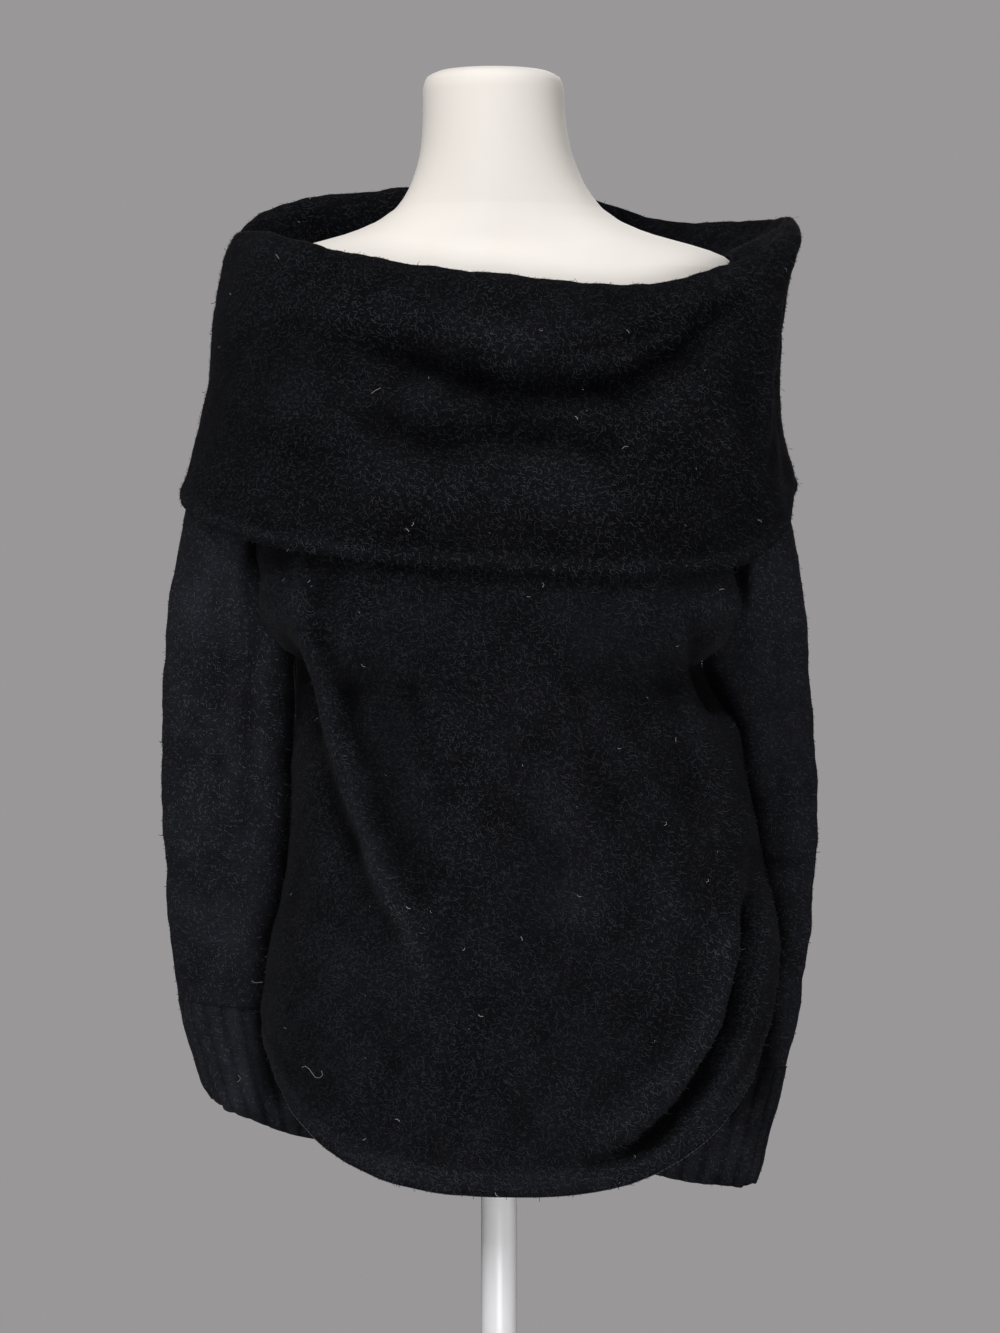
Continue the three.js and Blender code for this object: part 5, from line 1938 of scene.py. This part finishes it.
# Pale threads that cling to the wool: their middle, and the turns that they take in x and z
LINT = table(
    "cloth x z path",
    ("front_cloth", -142, 724, [
        (-8, 3), (-5.4, 4.3), (-2.4, 2.6), (0, -0.6), (2.6, -3.8), (6, -4), (8.4, -1.4), (7.2, 1.7)
    ]),
    ("right_sleeve_cloth", -192, 782, [(-4.5, 0.8), (-1.5, -0.5), (1.5, -0.6), (4.5, 0)]),
    ("cowl_cloth", -168, 1343, [(-1.5, 2.2), (0, 0.4), (1.2, -1.6)]),
    ("cowl_cloth", -92, 1238, [(-3.5, -2), (0, 0.5), (3.5, 2.2)]),
    ("cowl_cloth", 94, 1196, [(-2.2, -1.2), (0.2, 0.6), (2.4, 0.2)]),
    ("front_cloth", 60, 860, [(-1.6, 1.2), (0, -0.4), (1.8, -0.2)]),
    ("right_cuff_cloth", -206, 704, [(-1.5, 3), (0.4, 1), (-0.6, -1.2), (-2.2, -2.6)]),
)
THREAD_RADIUS = 0.00017
THREAD_LIFT = 0.0007
BEFORE_CLOTH = -0.4
SPECKS = {"Density": 170.0, "Length": 0.0032, "Width": 0.0003, "Lift": 0.3}
SPECK_SEED = 40


def thread_spots(row):
    """The points of a thread, laid on the cloth from the front."""
    cloth = bpy.data.objects[row["cloth"]].data
    tree = BVHTree.FromPolygons([v.co for v in cloth.vertices], [p.vertices for p in cloth.polygons])
    spots = []
    for across, up in row["path"]:
        start = Vector(((row["x"] + across) * MM, BEFORE_CLOTH, (row["z"] + up) * MM))
        spot = tree.ray_cast(start, Vector((0, 1, 0)))[0]
        if spot is None:
            raise RuntimeError(f"no cloth under the thread at {row['x']}, {row['z']}")
        spots.append(spot + Vector((0, -THREAD_LIFT, 0)))
    return spots


class SWEATER_OT_lint(Operator):
    """Lay the few pale threads and specks of lint on the wool"""

    bl_idname = "sweater.lint"
    bl_label = "Lint"

    def execute(self, context):
        material = hair_material("pale_lint", (0.20, 0.20, 0.21), (0.34, 0.34, 0.35), HAIR_SMOOTH)
        curve = bpy.data.curves.new("pale_threads", "CURVE")
        curve.dimensions = "3D"
        curve.bevel_depth = THREAD_RADIUS
        curve.bevel_resolution = 1
        for row in LINT:
            spots = thread_spots(row)
            spline = curve.splines.new("POLY")
            spline.points.add(len(spots) - 1)
            for point, spot in zip(spline.points, spots):
                point.co = (*spot, 1)
        threads = bpy.data.objects.new("pale_threads_curve", curve)
        context.scene.collection.objects.link(threads)
        mesh = bpy.data.meshes.new_from_object(threads)
        mesh.name = "pale_threads"
        bpy.data.objects.remove(threads)
        settle(new_piece("pale_threads", mesh, material), "knit_body")
        tree = strand_tree()
        first_seed = context.scene.sweater_cloth.seed + SPECK_SEED
        for number, part in enumerate(("cowl", "front")):
            values = {**SPECKS, "Seed": first_seed + number, "Material": material}
            grown_piece(
                f"{part}_lint", bpy.data.objects[f"{part}_cloth"].data, tree, "knit_body", values
            )
        bpy.data.node_groups.remove(tree)
        return {"FINISHED"}


BACKDROP_TINT = (1.03, 1.0, 1.01)

# Soft lights: where they are, what they aim at, their size, and their share of the power
STUDIO_LIGHTS = table(
    "name place aim size share",
    ("key_light", (-1.3, -2.3, 2.4), (0, 0, 1.1), (1.1, 1.1), 0.63),
    ("top_light", (-0.2, -0.5, 3.2), (0, 0, 1.2), (1.2, 1.2), 0.32),
    ("front_light", (0.2, -2.9, 0.55), (0, 0, 0.75), (1.5, 0.8), 0.54),
    ("right_light", (2.4, -1.2, 1.7), (0, 0, 1.0), (1.4, 1.8), 0.15),
    ("back_light", (0.6, 2.6, 2.4), (0, 0, 1.1), (2.0, 1.6), 0.5),
)

# The round floor, as radius and height, and how far the camera stands to the side
FLOOR_PROFILE = ((2000, -6), (2000, -1), (1999, 0), (900, 0))
FLOOR_SIDES = 96
CAMERA_X = 0.00078


def area_light(row, power):
    """One soft light, with its share of the power."""
    light = bpy.data.lights.new(row["name"], "AREA")
    light.shape = "RECTANGLE"
    light.size, light.size_y = row["size"]
    light.energy = power * row["share"]
    lamp = bpy.data.objects.new(row["name"], light)
    lamp.location = row["place"]
    direction = Vector(row["aim"]) - Vector(row["place"])
    lamp.rotation_euler = direction.to_track_quat("-Z", "Y").to_euler()
    bpy.context.scene.collection.objects.link(lamp)


def grey_world(settings):
    """A plain grey that the camera sees whole, and that lights the object only faintly."""
    world = bpy.data.worlds.new("studio")
    world.use_nodes = True
    tree = world.node_tree
    seen = tree_node(tree, "ShaderNodeLightPath").outputs["Is Camera Ray"]
    colour = toned(BACKDROP_TINT, settings.backdrop)
    faint = toned(colour, settings.ambient)
    grey = color_mix(tree, seen, (*faint, 1), (*colour, 1))
    tree.links.new(grey, tree.nodes["Background"].inputs["Color"])
    return world


class SWEATER_OT_stage(Operator):
    """Set the floor, the light and the camera"""

    bl_idname = "sweater.stage"
    bl_label = "Stage"

    def execute(self, context):
        scene = context.scene
        settings = scene.sweater_stage
        scene.world = grey_world(settings)
        for row in STUDIO_LIGHTS:
            area_light(row, settings.light_power)
        bump = (0.05, PALE_BUMP_DISTANCE)
        colors = ((0.62, 0.61, 0.60), (0.58, 0.57, 0.56))
        look = worn_material(
            "studio_floor", *colors, 200.0, (0.8, 0.9), bump, {"Specular IOR Level": 0.1}
        )
        rings = turned_rings(FLOOR_PROFILE, FLOOR_SIDES)
        new_piece("studio_floor", turned_mesh("studio_floor", rings), look)
        lens = bpy.data.cameras.new("camera")
        lens.sensor_fit = "AUTO"
        lens.lens = lens.sensor_width * settings.camera_distance / settings.view_height
        camera = bpy.data.objects.new("camera", lens)
        camera.location = (CAMERA_X, -settings.camera_distance, settings.camera_height)
        camera.rotation_euler = (math.pi / 2, 0, 0)
        scene.collection.objects.link(camera)
        scene.camera = camera
        scene.view_settings.view_transform = "Standard"
        return {"FINISHED"}


class SWEATER_PT_panel(Panel):
    """Lists the sweater's pieces and settings"""

    bl_idname = "SWEATER_PT_panel"
    bl_label = "Cowl Neck Sweater"
    bl_space_type = "VIEW_3D"
    bl_region_type = "UI"
    bl_category = "Sweater"

    def draw(self, context):
        for operator in OPERATORS:
            self.layout.operator(operator.bl_idname)
        for settings in SETTINGS:
            group = getattr(context.scene, settings)
            for title in group.bl_rna.properties.keys():
                if title not in ("rna_type", "name"):
                    self.layout.prop(group, title)


OPERATORS = (
    SWEATER_OT_stage,
    SWEATER_OT_stand,
    SWEATER_OT_dress_form,
    SWEATER_OT_body,
    SWEATER_OT_sleeves,
    SWEATER_OT_cuffs,
    SWEATER_OT_cowl,
    SWEATER_OT_nap,
    SWEATER_OT_seams,
    SWEATER_OT_lint,
)
SETTINGS = {
    "sweater_cloth": SweaterClothSettings,
    "sweater_form": SweaterFormSettings,
    "sweater_stage": SweaterStageSettings,
}


def register():
    for group in SETTINGS.values():
        bpy.utils.register_class(group)
    for operator in OPERATORS:
        bpy.utils.register_class(operator)
    bpy.utils.register_class(SWEATER_PT_panel)
    for title, group in SETTINGS.items():
        setattr(bpy.types.Scene, title, PointerProperty(type=group))


def unregister():
    for title in SETTINGS:
        delattr(bpy.types.Scene, title)
    bpy.utils.unregister_class(SWEATER_PT_panel)
    for group in (*reversed(OPERATORS), *SETTINGS.values()):
        bpy.utils.unregister_class(group)


def main():
    register()
    for operator in OPERATORS:
        family, name = operator.bl_idname.split(".")
        getattr(getattr(bpy.ops, family), name)()


if __name__ == "__main__":
    main()
